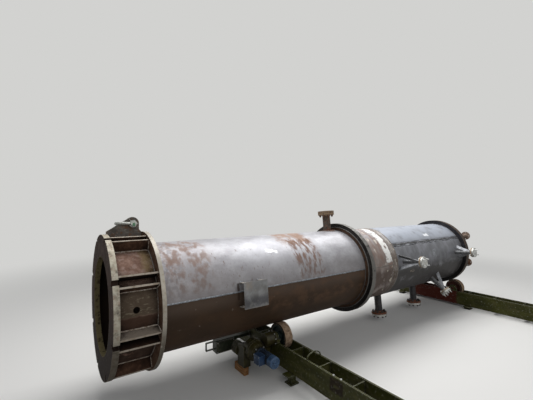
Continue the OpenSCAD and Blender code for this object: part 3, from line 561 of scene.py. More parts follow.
# Long far course: dark slate grey scale, wiped and scratched round the shell.
THIRD_COURSE = Finish("hot_rolled_plate_dark_scale", ("#696a6e", "#77787c", "#87888e"), 140, 0.5, 0.3, 0.3,
    stretch=(1, 1.8, 1), space=Space.SKIN, grain=(6, 0.07, 0.05), patches=(
    # Paler over the upper side: painted highlight.
    Patch("#aab0bb", 190, 0.85, 0.16, 0.8, Region(clock=(32, 150), feather=110), stretch=(1.2, 1, 1),
          rough=0.46),
    Patch("#8c8f95", 14, 0.22, 0.04, 0.22, stretch=(0.5, 9, 1), shift=2.7),
    # Dark below the side line: a film, made darker as painted shade.
    Patch("#33302e", 180, 0.92, 0.12, 0.9, Region(clock=(-182, -8), feather=110, ragged=20),
          stretch=(1.3, 1, 1), rough=0.6, metal=0.05),
    Patch("#2b2b2e", 24, 0.66, 0.09, 0.85, Region(x=(3.99, 6.12), clock=(24.8, 32.6), feather=9, ragged=7),
          stretch=(9, 0.55, 1), rough=0.6, shift=1.1),
    Patch("#d6d9dd", 12, 0.2, 0.03, 0.6, Region(x=(3.99, 6.12), clock=(24, 31), feather=12),
          stretch=(6, 0.6, 1), shift=5.1),
    Patch("#e4e6e8", 30, 0.85, 0.05, 0.9,
          Region(x=(5.05, 5.2), clock=(39, 45), feather=10, ragged=10, ragged_size=50), stretch=(1.6, 0.8, 1),
          rough=0.8, metal=0),
    Patch("#b9bec3", 16, 0.33, 0.03, 0.6, Region(x=(5.04, 5.16), clock=(-1, 13), feather=12),
          stretch=(0.7, 1.8, 1), rough=0.8, shift=3.9),
    Patch("#b5a896", 14, 0.36, 0.03, 0.7, Region(x=(4.34, 4.46), clock=(-20, -15.5), feather=10),
          stretch=(1.4, 0.8, 1), rough=0.8, shift=6.6),
))

# Skirt inside the anchor chairs: bare plate under a skin of fresh rust, paler where it was ground. Its upper
# side is made paler as a painted highlight, its inside near black as painted shade, and it darkens in steps
# towards the bottom, partly as painted shade.
SKIRT = Finish("rusted_plate_pinkish", ("#6b5145", "#826659", "#998072"), 70, 0.8, 0, 0.15, space=Space.SKIN,
    grain=(4, 0.2, 0.14), corner_dirt_and_shade=("#1c120c", 110), patches=(
    # Paler blotches over the upper side: painted highlight.
    Patch("#a08c82", 40, 0.28, 0.06, 0.5, Region(clock=(24, 160), feather=60), stretch=(1.4, 1, 1)),
    # Near black inside the skirt: painted shade.
    film("#0b0807", 0.96, Region(radius=(0.3, 0.542), feather=2)),
    # Darker in steps from just above the side line downwards: partly painted shade.
    film("#4f4639", 0.85, Region(clock=(-6, 20), feather=16, ragged=8), rough=0.8),
    film("#3b291f", 0.9, Region(clock=(-20, -6), feather=10, ragged=8), rough=0.82),
    Patch("#271c14", 90, 0.9, 0.06, 0.85, Region(clock=(-182, -22), feather=40), space=Space.SOLID),
    Patch("#8f8672", 18, 0.18, 0.04, 0.5, Region(clock=(-5, 12), feather=20), stretch=(2.2, 0.8, 1), shift=2),
    Patch("#6e6236", 50, 0.85, 0.08, 0.55, Region(x=(0.28, 0.38), clock=(26, 64), feather=28, ragged=14),
          space=Space.SOLID, rough=0.85),
))

# Base ring: flame-cut heavy plate. Its rim is scoured pale in blotches and its bore has yellow rust.
BASE_RING = Finish("flame_cut_ring_plate", ("#2e221d", "#382a24", "#44362f"), 90, 0.8, 0, 0.1,
    grain=(5, 0.2, 0.1), edge=("#7c7368", 3), patches=(
    # Darker over the ring's lower part: painted shade.
    Patch("#1a130f", 150, 0.9, 0.12, 0.85, Region(clock=(-170, -12), feather=200)),
    Patch("#a8a190", 60, 0.86, 0.16, 0.95, BASE_RIM, rough=0.5, metal=0.2),
    Patch("#d0ccbd", 40, 0.34, 0.15, 0.5, BASE_RIM, rough=0.45, metal=0.25, shift=1.9),
    Patch("#866357", 28, 0.22, 0.08, 0.4, BASE_RIM, rough=0.75, shift=4.9),
    # Rim darker underneath: painted shade.
    film("#463f37", 0.82, Region(clock=(-170, -20), radius=(0.658, 0.7), feather=1, clock_feather=110),
         rough=0.75, metal=0),
    Patch("#746a4b", 45, 0.8, 0.09, 0.9, Region(radius=(0.3, 0.4535), feather=1), rough=0.8),
    Patch("#a0935f", 26, 0.3, 0.05, 0.75, Region(clock=(-60, 30), radius=(0.3, 0.4535), feather=2),
          rough=0.75, shift=2.4),
))

# Compression ring: rolled plate, turned bright on its rim and rusty on its faces.
COMPRESSION_RING = Finish("turned_ring_plate", ("#453023", "#563f2f", "#695343"), 60, 0.78, 0, 0.25,
    edge=("#a39c8e", 4), corner_dirt_and_shade=("#2c1e15", 60), patches=(
    Patch("#aaa498", 80, 0.97, 0.06, 0.95, COMPRESSION_RIM, rough=0.42, metal=0.35),
    Patch("#8c7f6e", 50, 0.34, 0.12, 0.6, COMPRESSION_RIM, rough=0.6, shift=3),
    # Rim paler over the top: painted highlight.
    Patch("#b0ada6", 90, 0.5, 0.1, 0.4,
          Region(clock=(30, 110), radius=(0.669, 0.7), feather=1.5, clock_feather=120), rough=0.4, metal=0.3,
          shift=5),
    # Rim darker underneath: painted shade.
    Patch("#4c453b", 60, 0.95, 0.08, 0.82,
          Region(clock=(-170, -18), radius=(0.669, 0.7), feather=1.5, clock_feather=130), rough=0.7, metal=0,
          shift=5.6),
))

# Gusset plates: sawn edges ground pale, faces left rusty.
GUSSET = Finish("sawn_gusset_plate", ("#2f1f16", "#402c20", "#543d2f"), 50, 0.82, 0, 0.15,
    grain=(4, 0.15, 0.14), corner_dirt_and_shade=("#170e09", 120), patches=(
    Patch("#a69c8f", 60, 0.99, 0.06, 0.97, GUSSET_EDGE, rough=0.5, metal=0.15),
    Patch("#847767", 40, 0.34, 0.06, 0.8, GUSSET_EDGE, rough=0.6, shift=2),
    # Paler on the upward face of one low near gusset: painted highlight.
    Patch("#94897c", 60, 0.97, 0.1, 0.85, Region(clock=(-17.85, -13), feather=3), rough=0.7),
))

# Lug plate: dark scale with lighter flame-cut edges.
LUG = Finish("flame_cut_lug_plate", ("#453f39", "#56504a", "#686159"), 60, 0.62, 0.1, 0.3,
    grain=(4, 0.15, 0.1), edge=("#d2ccc0", 6), patches=(
    Patch("#6b4b35", 40, 0.22, 0.05, 0.7, rough=0.8),
))

# Mid ring: girth flange with a nearly black scale, brown beside its welds.
MID_RING = Finish("black_scale_ring", ("#1a1817", "#232120", "#312e2b"), 70, 0.6, 0.05, 0.15,
    grain=(5, 0.15, 0.1), edge=("#77736c", 3), patches=(
    # Near black underneath: painted shade.
    film("#121110", 0.8, SHADED_RING_UNDERSIDE),
    Patch("#4a3527", 40, 0.8, 0.08, 0.9, Region(radius=(0.54, 0.592), feather=6), rough=0.75),
    Patch("#75736f", 70, 0.85, 0.08, 0.85, Region(radius=(0.6555, 0.7), feather=1), rough=0.5, metal=0.25),
    # Rim paler over the top: painted highlight.
    Patch("#a9a7a3", 80, 0.4, 0.1, 0.45,
          Region(clock=(28, 120), radius=(0.6555, 0.7), feather=1, clock_feather=120), rough=0.42, metal=0.3,
          shift=2.6),
    film("#8d8a84", 0.8, Region(radius=(0.5975, 0.6015), feather=0.8), rough=0.45, metal=0.3),
))

# End ring: the same black scale with a thin light rim.
END_RING = Finish("black_scale_end_ring", ("#1d1c1e", "#272629", "#363538"), 70, 0.56, 0.08, 0.15,
    grain=(5, 0.15, 0.1), edge=("#565047", 2), patches=(
    # Near black underneath: painted shade.
    film("#121110", 0.8, SHADED_RING_UNDERSIDE),
    Patch("#453c34", 60, 0.85, 0.08, 0.85, END_RIM, rough=0.6, metal=0.1),
    Patch("#4e3a2c", 40, 0.34, 0.06, 0.8, END_RIM, rough=0.75, shift=3),
))

# Pressed heads: even dark scale.
HEAD = Finish("pressed_head_scale", ("#444141", "#534f4f", "#625f5e"), 120, 0.55, 0.2, 0.3,
    grain=(6, 0.15, 0.08), patches=(
    Patch("#6e5140", 60, 0.22, 0.06, 0.6, rough=0.8),
))

# Forged flanges that stood outside: brown rust with paler scuffs.
RUSTY_FORGING = Finish("rusted_forging", ("#4e3427", "#684836", "#84644f"), 24, 0.8, 0, 0.2,
    grain=(3, 0.15, 0.15), edge=("#a08a74", 2.5), patches=(
    Patch("#a3917d", 22, 0.24, 0.05, 0.6, rough=0.6),
    Patch("#3d2b20", 20, 0.26, 0.05, 0.7, shift=4),
    Patch("#84776c", 26, 0.85, 0.08, 0.75, Region(x=(6.2, 7), clock=(6, 90), feather=20), rough=0.7,
          shift=1.2),
))

# Top nozzle: dull grey-brown pipe, rusty at its pad, with a tan bloom on flange and cover.
TOP_NOZZLE = Finish("weathered_pipe_tan_flange", ("#3d3833", "#504942", "#675f56"), 30, 0.68, 0.1, 0.25,
    grain=(3, 0.15, 0.13), edge=("#988873", 2.5), patches=(
    Patch("#6b4634", 26, 0.34, 0.06, 0.75, rough=0.8, metal=0),
    Patch("#6d4435", 40, 0.8, 0.08, 0.8, Region(radius=(0.54, 0.572), feather=5), rough=0.8, metal=0),
    Patch("#8c765e", 30, 0.75, 0.08, 0.85, Region(radius=(0.772, 0.9), feather=5), rough=0.75, metal=0,
          shift=3),
))

# Drains: dark pipe with rusty red-brown flanges.
DRAIN = Finish("dark_pipe_red_flange", ("#262526", "#302f31", "#3d3c3e"), 40, 0.5, 0.15, 0.3,
    grain=(3, 0.15, 0.1), edge=("#8d7a68", 2), patches=(
    Patch("#6a4130", 26, 0.9, 0.08, 0.95, DRAIN_FLANGE, rough=0.8, metal=0),
    Patch("#8f6a50", 18, 0.3, 0.05, 0.7, DRAIN_FLANGE, rough=0.75, metal=0, shift=2),
))

# Small nozzles: seamless pipe with a grey skin, and a flange that is cream where turned and rusty behind.
SIDE_NOZZLE = Finish("grey_pipe_turned_flange", ("#4a4b4d", "#5d5e60", "#747577"), 30, 0.45, 0.3,
    grain=(3, 0.15, 0.1), edge=("#b5b0a5", 2), patches=(
    Patch("#a79c88", 30, 0.9, 0.08, 0.95, SIDE_FLANGE, rough=0.5, metal=0.2),
    Patch("#74492f", 20, 0.36, 0.05, 0.85, SIDE_FLANGE, rough=0.8, metal=0, shift=2),
))

# Blind covers: turned face, bright and clean.
COVER = Finish("turned_cover", ("#a5a49e", "#b8b8b3", "#cccdca"), 30, 0.36, 0.5, grain=(2, 0.05, 0.06),
    edge=("#ecece8", 2), patches=(
    Patch("#8d7b66", 18, 0.12, 0.04, 0.6, rough=0.7),
))

# Braces: thin plate, sheared, mid grey.
BRACE = Finish("sheared_brace_plate", ("#707276", "#86888c", "#9ea1a6"), 40, 0.48, 0.3, grain=(3, 0.15, 0.08),
    edge=("#c0c1c3", 2), patches=(
    film("#1e1d1d", 0.9, Region(x=(3.9, 4.4), clock=(3.4, 20), feather=4), rough=0.6, metal=0),
))

# Shackle: galvanised, dull, with a greenish pin end.
SHACKLE = Finish("galvanised_forging", ("#8d8f8b", "#a5a7a2", "#bfc0bb"), 18, 0.5, 0.45, grain=(2, 0.15, 0.1),
    patches=(
    Patch("#6d6a60", 16, 0.25, 0.05, 0.6, rough=0.7),
))

# Shackle pin: galvanised, paler where it was handled.
PIN = Finish("painted_pin", ("#9b9e96", "#b0b3ab", "#c8cac3"), 14, 0.5, 0.3, grain=(2, 0.15, 0.1),
    edge=("#c3c5be", 3))

# Bracket's face plate: clean cold rolled sheet, with soft cloudy sheen; its lower part is darkened by a
# painted reflection.
SHEET = Finish("cold_rolled_sheet", ("#6f6e6c", "#7e7e7e", "#8f9091"), 110, 0.44, 0.4, 0.3,
    grain=(2, 0.04, 0.05), edge=("#a39b8c", 2), patches=(
    # Darker over the plate's lower part: painted reflection.
    Patch("#434246", 90, 0.9, 0.12, 0.8, Region(clock=(-14, -4.5))),
    Patch("#8f8478", 40, 0.7, 0.08, 0.6, Region(x=(1.2, 1.28), clock=(2, 10), feather=25), rough=0.7),
    Patch("#a58a6c", 20, 0.8, 0.06, 0.8, Region(clock=(-16.2, -14.1), feather=4, ragged=3, ragged_size=25),
          rough=0.7, metal=0.1),
))

# Bracket's straps: bent flat bar with a few rust specks.
STRAP = Finish("flat_bar", ("#6b655e", "#7f7a73", "#96928b"), 40, 0.5, 0.35, grain=(3, 0.15, 0.1),
    edge=("#c9c6bf", 2.5), patches=(
    Patch("#5e4230", 24, 0.25, 0.05, 0.7, rough=0.8),
))

# Stand plates: brushed-on dark green gloss, gone matt with dust, and chipped to brown primer and steel.
GREEN_PAINT = Finish("chipped_green_gloss", ("#262709", "#30310c", "#3d3e13"), 160, 0.55, 0, 0.2,
    stretch=(1, 2, 0.8), grain=(4, 0.08, 0.08), edge=("#a9aaa1", 3), corner_dirt_and_shade=("#15140b", 50), patches=(
    Patch("#1c120d", 60, 0.85, 0.05, 0.9,
          Region(box=((-1.7, -1.39, 0.2), (-1.6, -1.23, 0.33)), feather=10, ragged=10, ragged_size=40),
          rough=0.8),
    Patch("#4f4c2f", 90, 0.3, 0.1, 0.5, stretch=(1, 1.6, 0.6), rough=0.8),
    Patch("#5d4229", 16, 0.045, 0.02, 0.9, stretch=(1, 1.3, 1), rough=0.8, bump_mm=-0.15, shift=2),
))

# The far stand's middle has an older coat of dark red that shows.
RED_OVER_GREEN = replace(GREEN_PAINT, name="chipped_green_over_red", patches=(
    *GREEN_PAINT.patches,
    Patch("#49180e", 90, 0.95, 0.06, 0.95,
          Region(box=((2.5, -0.46, -0.1), (3, 0.5, 0.5)), feather=25, ragged=22), stretch=(1, 1.6, 1),
          rough=0.7),
))

# Gearbox: dark olive enamel, with darker wet patches of oil.
OLIVE_PAINT = Finish("oily_olive_enamel", ("#22200e", "#2e2b12", "#3b371b"), 60, 0.42, 0, 0.3,
    grain=(3, 0.15, 0.1), edge=("#7d765a", 2.5), corner_dirt_and_shade=("#14130b", 40), patches=(
    Patch("#2a2214", 40, 0.4, 0.08, 0.6, rough=0.35),
))

# Motor: blue enamel with scuffs; its body, from the flange back to the fan cover, is painted near black as
# shade.
BLUE_PAINT = Finish("blue_enamel", ("#273b55", "#304967", "#415c7d"), 50, 0.38, 0, 0.3, grain=(3, 0.03, 0.05),
    edge=("#7fa0c8", 2), corner_dirt_and_shade=("#152235", 25), coat=0.2, patches=(
    Patch("#39424a", 30, 0.2, 0.07, 0.5, rough=0.6),
    # Near black over the motor's body: painted shade.
    film("#17181a", 1, Region(box=((-1.96, -0.586, 0.18), (-1.78, -0.36, 0.36)), feather=2), rough=0.6),
))

# The terminal box keeps its blue all over, in darker tones that are painted shade.
SHADED_BOX_PAINT = replace(BLUE_PAINT, name="blue_enamel_box_shaded", tones=("#1a2a42", "#203450", "#2c4261"),
    patches=BLUE_PAINT.patches[:1])

# Roller tyres: tan with dust on the tread, dark on the flanks.
TYRE = Finish("dusty_solid_tyre", ("#7c6650", "#907a64", "#a8917a"), 30, 0.85, 0, 0.2, grain=(3, 0.25, 0.14),
    edge=("#c0aa90", 3), patches=(
    Patch("#5b4a3d", 24, 0.28, 0.06, 0.7, stretch=(3, 1, 1)),
    film("#2a2420", 0.9, ends_only=True),
))

# Hubs: cast and painted, dark teal on the near stand and dark red on the far one.
HUB = Finish("cast_hub_dark_teal", ("#0f1715", "#151f1d", "#1f2b28"), 40, 0.55, 0, 0.25, grain=(4, 0.3, 0.1),
    edge=("#5d6a63", 3), corner_dirt_and_shade=("#0f1413", 30))
RED_HUB = Finish("cast_hub_dark_red", ("#2c130e", "#3a1a13", "#4a251c"), 40, 0.6, 0, 0.25,
    grain=(4, 0.3, 0.1), edge=("#7d6556", 3), corner_dirt_and_shade=("#170d0a", 30))

# Switch box: nearly black green enamel.
DARK_BOX = Finish("dark_green_enamel", ("#1d2117", "#252a1d", "#313626"), 50, 0.5, 0, 0.3,
    grain=(3, 0.15, 0.08), edge=("#85796a", 2.5))

# Rough sawn pine, orange with age: long fibres along the block.
TIMBER = Finish("rough_sawn_pine", ("#7a5635", "#976f48", "#b0885e"), 9, 0.8, 0, 0.25, stretch=(1, 14, 1),
    grain=(2, 0.3, 0.12), patches=(
    Patch("#6b4320", 30, 0.3, 0.07, 0.7, stretch=(1, 5, 1)),
))

# Weld metal: rippled, brushed bright on the seams, oxidised brown in the chairs, dark on the far course.
BRIGHT_WELD = Finish("brushed_weld", ("#63686e", "#7d8288", "#9ba0a6"), 12, 0.42, 0.5, grain=(2, 0.15, 0.12),
    patches=(
    Patch("#5f5a58", 30, 0.2, 0.05, 0.5, rough=0.7),
))
PALE_WELD = Finish("oxidised_weld", ("#8a7c6c", "#a3978a", "#c2bab0"), 12, 0.55, 0.25, grain=(2, 0.15, 0.15),
    patches=(
    Patch("#5c4433", 20, 0.34, 0.06, 0.7, rough=0.8),
))
DARK_WELD = Finish("scaled_weld", ("#2c2a2a", "#3c3a3a", "#55524f"), 12, 0.5, 0.3, grain=(2, 0.15, 0.12))
GREY_WELD = Finish("plain_weld", ("#5d5954", "#746f69", "#8f8a84"), 14, 0.5, 0.35, grain=(2, 0.15, 0.12),
    patches=(
    Patch("#5c4030", 24, 0.3, 0.06, 0.6, rough=0.8),
))

# Fasteners: zinc plated and bright, or rusted with the flange they hold.
ZINC = Finish("zinc_plated", ("#b5b6b4", "#c9cac8", "#dedfde"), 8, 0.32, 0.75, grain=(1.5, 0.02, 0.05))
RUSTY_BOLT = Finish("rusted_bolt", ("#4d3527", "#66483a", "#83644f"), 10, 0.78, 0.1, grain=(1.5, 0.15, 0.14))
BLACK_BOLT = Finish("oiled_bolt", ("#2a2927", "#3a3836", "#4c4a47"), 10, 0.45, 0.5, grain=(1.5, 0.15, 0.1))


def turns(count: int) -> np.ndarray:
    """That many equal angles of one turn, in radians."""
    return np.linspace(0.0, 2 * math.pi, count, endpoint=False)


def circle(radius: Values, turn: np.ndarray, height: Values = 0.0) -> np.ndarray:
    """Points round the z axis, at a radius and a height for each angle."""
    return np.stack(np.broadcast_arrays(radius * np.cos(turn), radius * np.sin(turn), height), -1)


def skin(rings: np.ndarray, closed: bool = False) -> Mesh:
    """Joins rings of points into one closed surface that faces outwards.

    Each ring is joined to the next, and wraps round. A closed row of rings joins its last to its first; an
    open one ends in a fan round each end ring's middle.

    Args:
        rings: points of shape (rings, points in a ring, 3).
        closed: whether the row of rings runs round.

    Returns:
        The points and the faces.
    """
    count, sides, _ = rings.shape
    index = np.arange(count * sides).reshape(count, sides)
    around = np.roll(index, -1, axis=1)
    quads = np.stack([index, around, np.roll(around, -1, axis=0), np.roll(index, -1, axis=0)], -1)
    faces = quads[:count if closed else count - 1].reshape(-1, 4).tolist()
    points = rings.reshape(-1, 3)
    if not closed:
        first, last = len(points), len(points) + 1
        points = np.vstack([points, rings[0].mean(0), rings[-1].mean(0)])
        faces += np.stack([np.full(sides, first), around[0], index[0]], -1).tolist()
        faces += np.stack([np.full(sides, last), index[-1], around[-1]], -1).tolist()
    return outwards(points, faces)


def outwards(points: np.ndarray, faces: list[list[int]]) -> Mesh:
    """Turns a closed surface's faces round if its signed volume is below zero."""
    corners = np.array([[f[0], f[i], f[i + 1]] for f in faces for i in range(1, len(f) - 1)])
    a, b, c = (points[corners[:, i]] for i in range(3))
    volume = np.einsum("ij,ij->i", a, np.cross(b, c)).sum()
    return (points, faces) if volume > 0 else (points, [f[::-1] for f in faces])


def lathe(profile: list[Span], sides: int = 24) -> Mesh:
    """A round piece about its own z axis: each (height, radius) of the profile is one ring."""
    return skin(np.array([circle(radius, turns(sides), height) for height, radius in profile]))


def hexagon(across: float, height: float, start: float = 0.0) -> Mesh:
    """A bolt's head or a nut: a six-sided prism whose corners are turned down at both faces.

    The side's distance from the middle is half the width over the cosine of the angle from the flat's middle.
    """
    turn = turns(24)
    side = across / 2 / np.cos((turn + math.pi / 6) % (math.pi / 3) - math.pi / 6)
    turned = across / 2 * 1.02
    chamfer = height * 0.12
    levels = ((0.0, turned), (chamfer, math.inf), (height - chamfer, math.inf), (height, turned))
    return skin(np.array([circle(np.minimum(side, limit), turn, start + z) for z, limit in levels]))


def stud(diameter: float, start: float, end: float, pitch: float) -> Mesh:
    """A threaded bar: its radius falls and rises once a pitch, a little further round on each side."""
    turn = turns(10)
    heights = np.arange(start, end, pitch / 3)[:, None]
    radius = diameter / 2 - 0.32 * pitch * (1 + np.cos(2 * math.pi * heights / pitch - turn))
    radius[[0, -1]] = diameter * 0.38
    return skin(circle(radius, turn, heights))


def rounded_block(size: Point, corner: float) -> Mesh:
    """A block whose edges are rounded: rings of a rounded rectangle that draw in at both ends.

    Args:
        size: its length along x, y and z, centred on the origin.
        corner: the radius of its edges.

    Returns:
        The points and the faces.
    """
    quarter = np.linspace(0.0, math.pi / 2, 5)
    turn = np.concatenate([quarter + k * math.pi / 2 for k in range(4)])
    signs = np.array([[1, 1, 0], [-1, 1, 0], [-1, -1, 0], [1, -1, 0]]).repeat(len(quarter), 0)
    middles = signs * (np.array(size) / 2 - corner)
    bend = np.linspace(0.0, math.pi / 2, 4)
    levels = [(-size[2] / 2 + corner * (1 - math.sin(b)), corner * (1 - math.cos(b))) for b in bend]
    levels += [(-z, inset) for z, inset in levels[::-1]]
    return skin(np.array([circle(corner - inset * 0.999, turn, z) + middles for z, inset in levels]))


def stamp(mesh: Mesh, frames: list[Matrix]) -> Mesh:
    """Copies of a mesh, one for each placing, as one mesh."""
    points, faces = mesh
    turned = [np.array(frame) for frame in frames]
    return join([(points @ m[:3, :3].T + m[:3, 3], faces) for m in turned])


def join(meshes: list[Mesh]) -> Mesh:
    """Several meshes as one."""
    points, faces, start = [], [], 0
    for some, loops in meshes:
        points.append(some)
        faces += [[c + start for c in f] for f in loops]
        start += len(some)
    return np.vstack(points), faces


def wander(length: np.ndarray, seed: int, waves: tuple[float, ...]) -> np.ndarray:
    """A smooth uneven line between about -1 and 1: sines of the given wavelengths with seeded phases."""
    rng = np.random.default_rng(seed)
    total = sum(np.sin(2 * math.pi * length / w + rng.uniform(0, 2 * math.pi)) for w in waves)
    return total / len(waves)


def steps(path: np.ndarray, closed: bool) -> tuple[np.ndarray, np.ndarray]:
    """The direction along a path at each of its points, and the distance from each to the next."""
    step = np.roll(path, -1, 0) - path
    if not closed:
        step[-1] = step[-2]
    reach = np.linalg.norm(step, axis=1)
    return step / reach[:, None], reach


def weld(path: np.ndarray, out: np.ndarray, width: float, height: float, seed: int,
         closed: bool = False) -> Mesh:
    """A weld bead: a low half round carried along a path.

    Each ring is an ellipse whose lower half is flattened into the plate. Its height ripples once every few
    millimetres as the puddle froze, and its width and line wander a little. An open bead tapers at both ends.

    Args:
        path: points along the weld's root.
        out: the direction away from the plates at each point.
        width: the bead's width.
        height: its height over the root.
        seed: what makes this bead differ from the next.
        closed: whether the path runs round.

    Returns:
        The points and the faces.
    """
    ahead, reach = steps(path, closed)
    length = np.concatenate([[0.0], np.cumsum(reach)[:-1]])
    turn = turns(8)
    swell = 1 + 0.14 * wander(length, seed, (0.031, 0.047, 0.083))
    phase = 2 * wander(length, seed + 1, (0.05, 0.11))
    ripple = 1 + 0.22 * np.sin(2 * math.pi * length / WELD_RIPPLE + phase)
    drift = 0.12 * width * wander(length, seed + 2, (0.09, 0.21, 0.37))
    ends = np.minimum(length, length[-1] - length)
    taper = np.ones_like(length) if closed else np.clip(ends / WELD_TAPER, 0.15, 1.0)
    flat = np.where(np.sin(turn) > 0, np.sin(turn), 0.25 * np.sin(turn))
    across = np.cos(turn) * (width / 2 * swell * taper)[:, None] + drift[:, None]
    lift = flat * (height * ripple * taper)[:, None]
    side = np.cross(ahead, out)
    return skin(path[:, None] + across[..., None] * side[:, None] + lift[..., None] * out[:, None], closed)


def bar(path: np.ndarray, radius: float, up: Point, sides: int = 10, closed: bool = False) -> Mesh:
    """A round bar carried along a path.

    Args:
        path: points along its middle.
        radius: the bar's radius.
        up: a direction that no part of the path runs along, which keeps the rings from twisting.
        sides: how many points make a ring.
        closed: whether the path runs round.

    Returns:
        The points and the faces.
    """
    ahead, _ = steps(path, closed)
    side = np.cross(ahead, np.array(up))
    side /= np.linalg.norm(side, axis=1)[:, None]
    lift = np.cross(side, ahead)
    turn = turns(sides)[:, None]
    across = np.cos(turn) * side[:, None] + np.sin(turn) * lift[:, None]
    return skin(path[:, None] + radius * across, closed)


def hoop(radius: float, wire: float) -> Mesh:
    """A ring of round wire about its own z axis."""
    return bar(circle(radius, turns(36)), wire / 2, (0.0, 0.0, 1.0), 8, True)


def placed(place: Point, facing: str = "+z", spin: float = 0.0) -> Matrix:
    """Where a small piece sits: its own z axis is turned to a side of the frame, after a spin about it."""
    sides = {"+z": (0.0, "X"), "-z": (math.pi, "X"), "-x": (-math.pi / 2, "Y"), "-y": (math.pi / 2, "X")}
    angle, axis = sides[facing]
    return Matrix.Translation(place) @ Matrix.Rotation(angle, 4, axis) @ Matrix.Rotation(spin, 4, "Z")


def round_about(start: Matrix, angles: Iterable[float], offset: Point) -> list[Matrix]:
    """Placings round a start's own z axis, one at each angle in degrees, set off from it."""
    return [start @ Matrix.Rotation(math.radians(a), 4, "Z") @ Matrix.Translation(offset) for a in angles]


def block(size: Point, corner: float, place: Point) -> Mesh:
    """A rounded block at a place."""
    return stamp(rounded_block(size, corner), [Matrix.Translation(place)])


def ring_weld(x: float, radius: float, lean: float, width: float, height: float, seed: int) -> Mesh:
    """A weld right round the vessel, which faces that many degrees from straight out towards its end."""
    clock = np.linspace(0.0, 360.0, int(2 * math.pi * radius / WELD_STEP), endpoint=False)
    tilt = math.radians(lean)
    out = math.cos(tilt) * VESSEL.outward(clock) + math.sin(tilt) * ALONG
    return weld(VESSEL.at(x, radius, clock), out, width, height, seed, True)


def line_weld(ends: Sequence[np.ndarray], out: np.ndarray, width: float, height: float, seed: int,
              step: float = WELD_STEP) -> Mesh:
    """A weld along a straight line between two ends, with one outward direction."""
    span = ends[1] - ends[0]
    count = max(int(np.linalg.norm(span) / step), 4)
    path = ends[0] + np.linspace(0.0, 1.0, count)[:, None] * span
    return weld(path, np.broadcast_to(out / np.linalg.norm(out), (count, 3)), width, height, seed)


def neck_weld(x: float, clock: float, radius: float, width: float, height: float, seed: int) -> Mesh:
    """A weld round a neck or a pad, on the shell that it meets."""
    turn = turns(int(2 * math.pi * radius / WELD_STEP))
    aside = radius * np.sin(turn)
    path = VESSEL.at(x + radius * np.cos(turn), np.sqrt(S.shell_r ** 2 - aside ** 2), clock, aside)
    away = np.cos(turn)[:, None] * ALONG + np.sin(turn)[:, None] * VESSEL.along_clock(clock)
    return weld(path, (VESSEL.outward(clock) + away) / math.sqrt(2.0), width, height, seed, True)


def head_weld(clock: float, width: float, height: float, seed: int) -> Mesh:
    """A weld round an end nozzle's neck, on the head's half ellipse."""
    turn = turns(70)
    radius = S.end_nozzle_r + S.small_neck_r * np.cos(turn)
    aside = S.small_neck_r * np.sin(turn)
    rise = S.head_edge + S.head_depth * np.sqrt(1 - (np.hypot(radius, aside) / S.shell_r) ** 2)
    away = np.cos(turn)[:, None] * VESSEL.outward(clock) + np.sin(turn)[:, None] * VESSEL.along_clock(clock)
    path = VESSEL.at(S.end_ring_end + rise, radius, clock, aside)
    return weld(path, (away + ALONG) / math.sqrt(2.0), width, height, seed, True)


def link(name: str, data: bpy.types.ID) -> bpy.types.Object:
    """Puts a mesh, a light or a camera into the scene as a new object."""
    made = bpy.data.objects.new(name, data)
    bpy.context.scene.collection.objects.link(made)
    return made


@dataclass
class Workshop:
    """Adds finished pieces to the scene and finishes to the frame's own nodes."""

    frame: dict
    made: dict[str, bpy.types.Material] = field(default_factory=dict)

    def material(self, finish: Finish) -> bpy.types.Material:
        """A finish's material, made when it is first asked for."""
        if finish.name not in self.made:
            self.made[finish.name] = Painter(finish).paint()
        return self.made[finish.name]

    def piece(self, name: str, mesh: Mesh, finish: Finish, body: str) -> None:
        """Makes one piece that rides on a body.

        Args:
            name: the piece's name.
            mesh: its points and faces, in the frame's own axes.
            finish: what it is finished with.
            body: the body that carries it.
        """
        data = bpy.data.meshes.new(name)
        data.from_pydata(mesh[0].tolist(), [], mesh[1])
        data.polygons.foreach_set("use_smooth", np.ones(len(data.polygons), bool))
        data.set_sharp_from_angle(angle=math.radians(38.0))
        data.materials.append(self.material(finish))
        made = link(name, data)
        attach(made, body)
        LOG.info("%s: %d faces", name, len(mesh[1]))

    def dress(self, finish: Finish, *nodes: str) -> None:
        """Gives the frame's nodes a finish."""
        for node in nodes:
            for place in self.frame["nodes"][node].material_slots:
                place.material = self.material(finish)


class Group:
    """One sub-assembly. Its coats are its finishes, each with the nodes that have it."""

    coats: ClassVar[tuple[tuple, ...]] = ()

    def dress(self, shop: Workshop) -> None:
        """Finishes the group's nodes."""
        for finish, *nodes in self.coats:
            shop.dress(finish, *nodes)

    def build(self, shop: Workshop) -> None:
        """Makes the group's own pieces."""


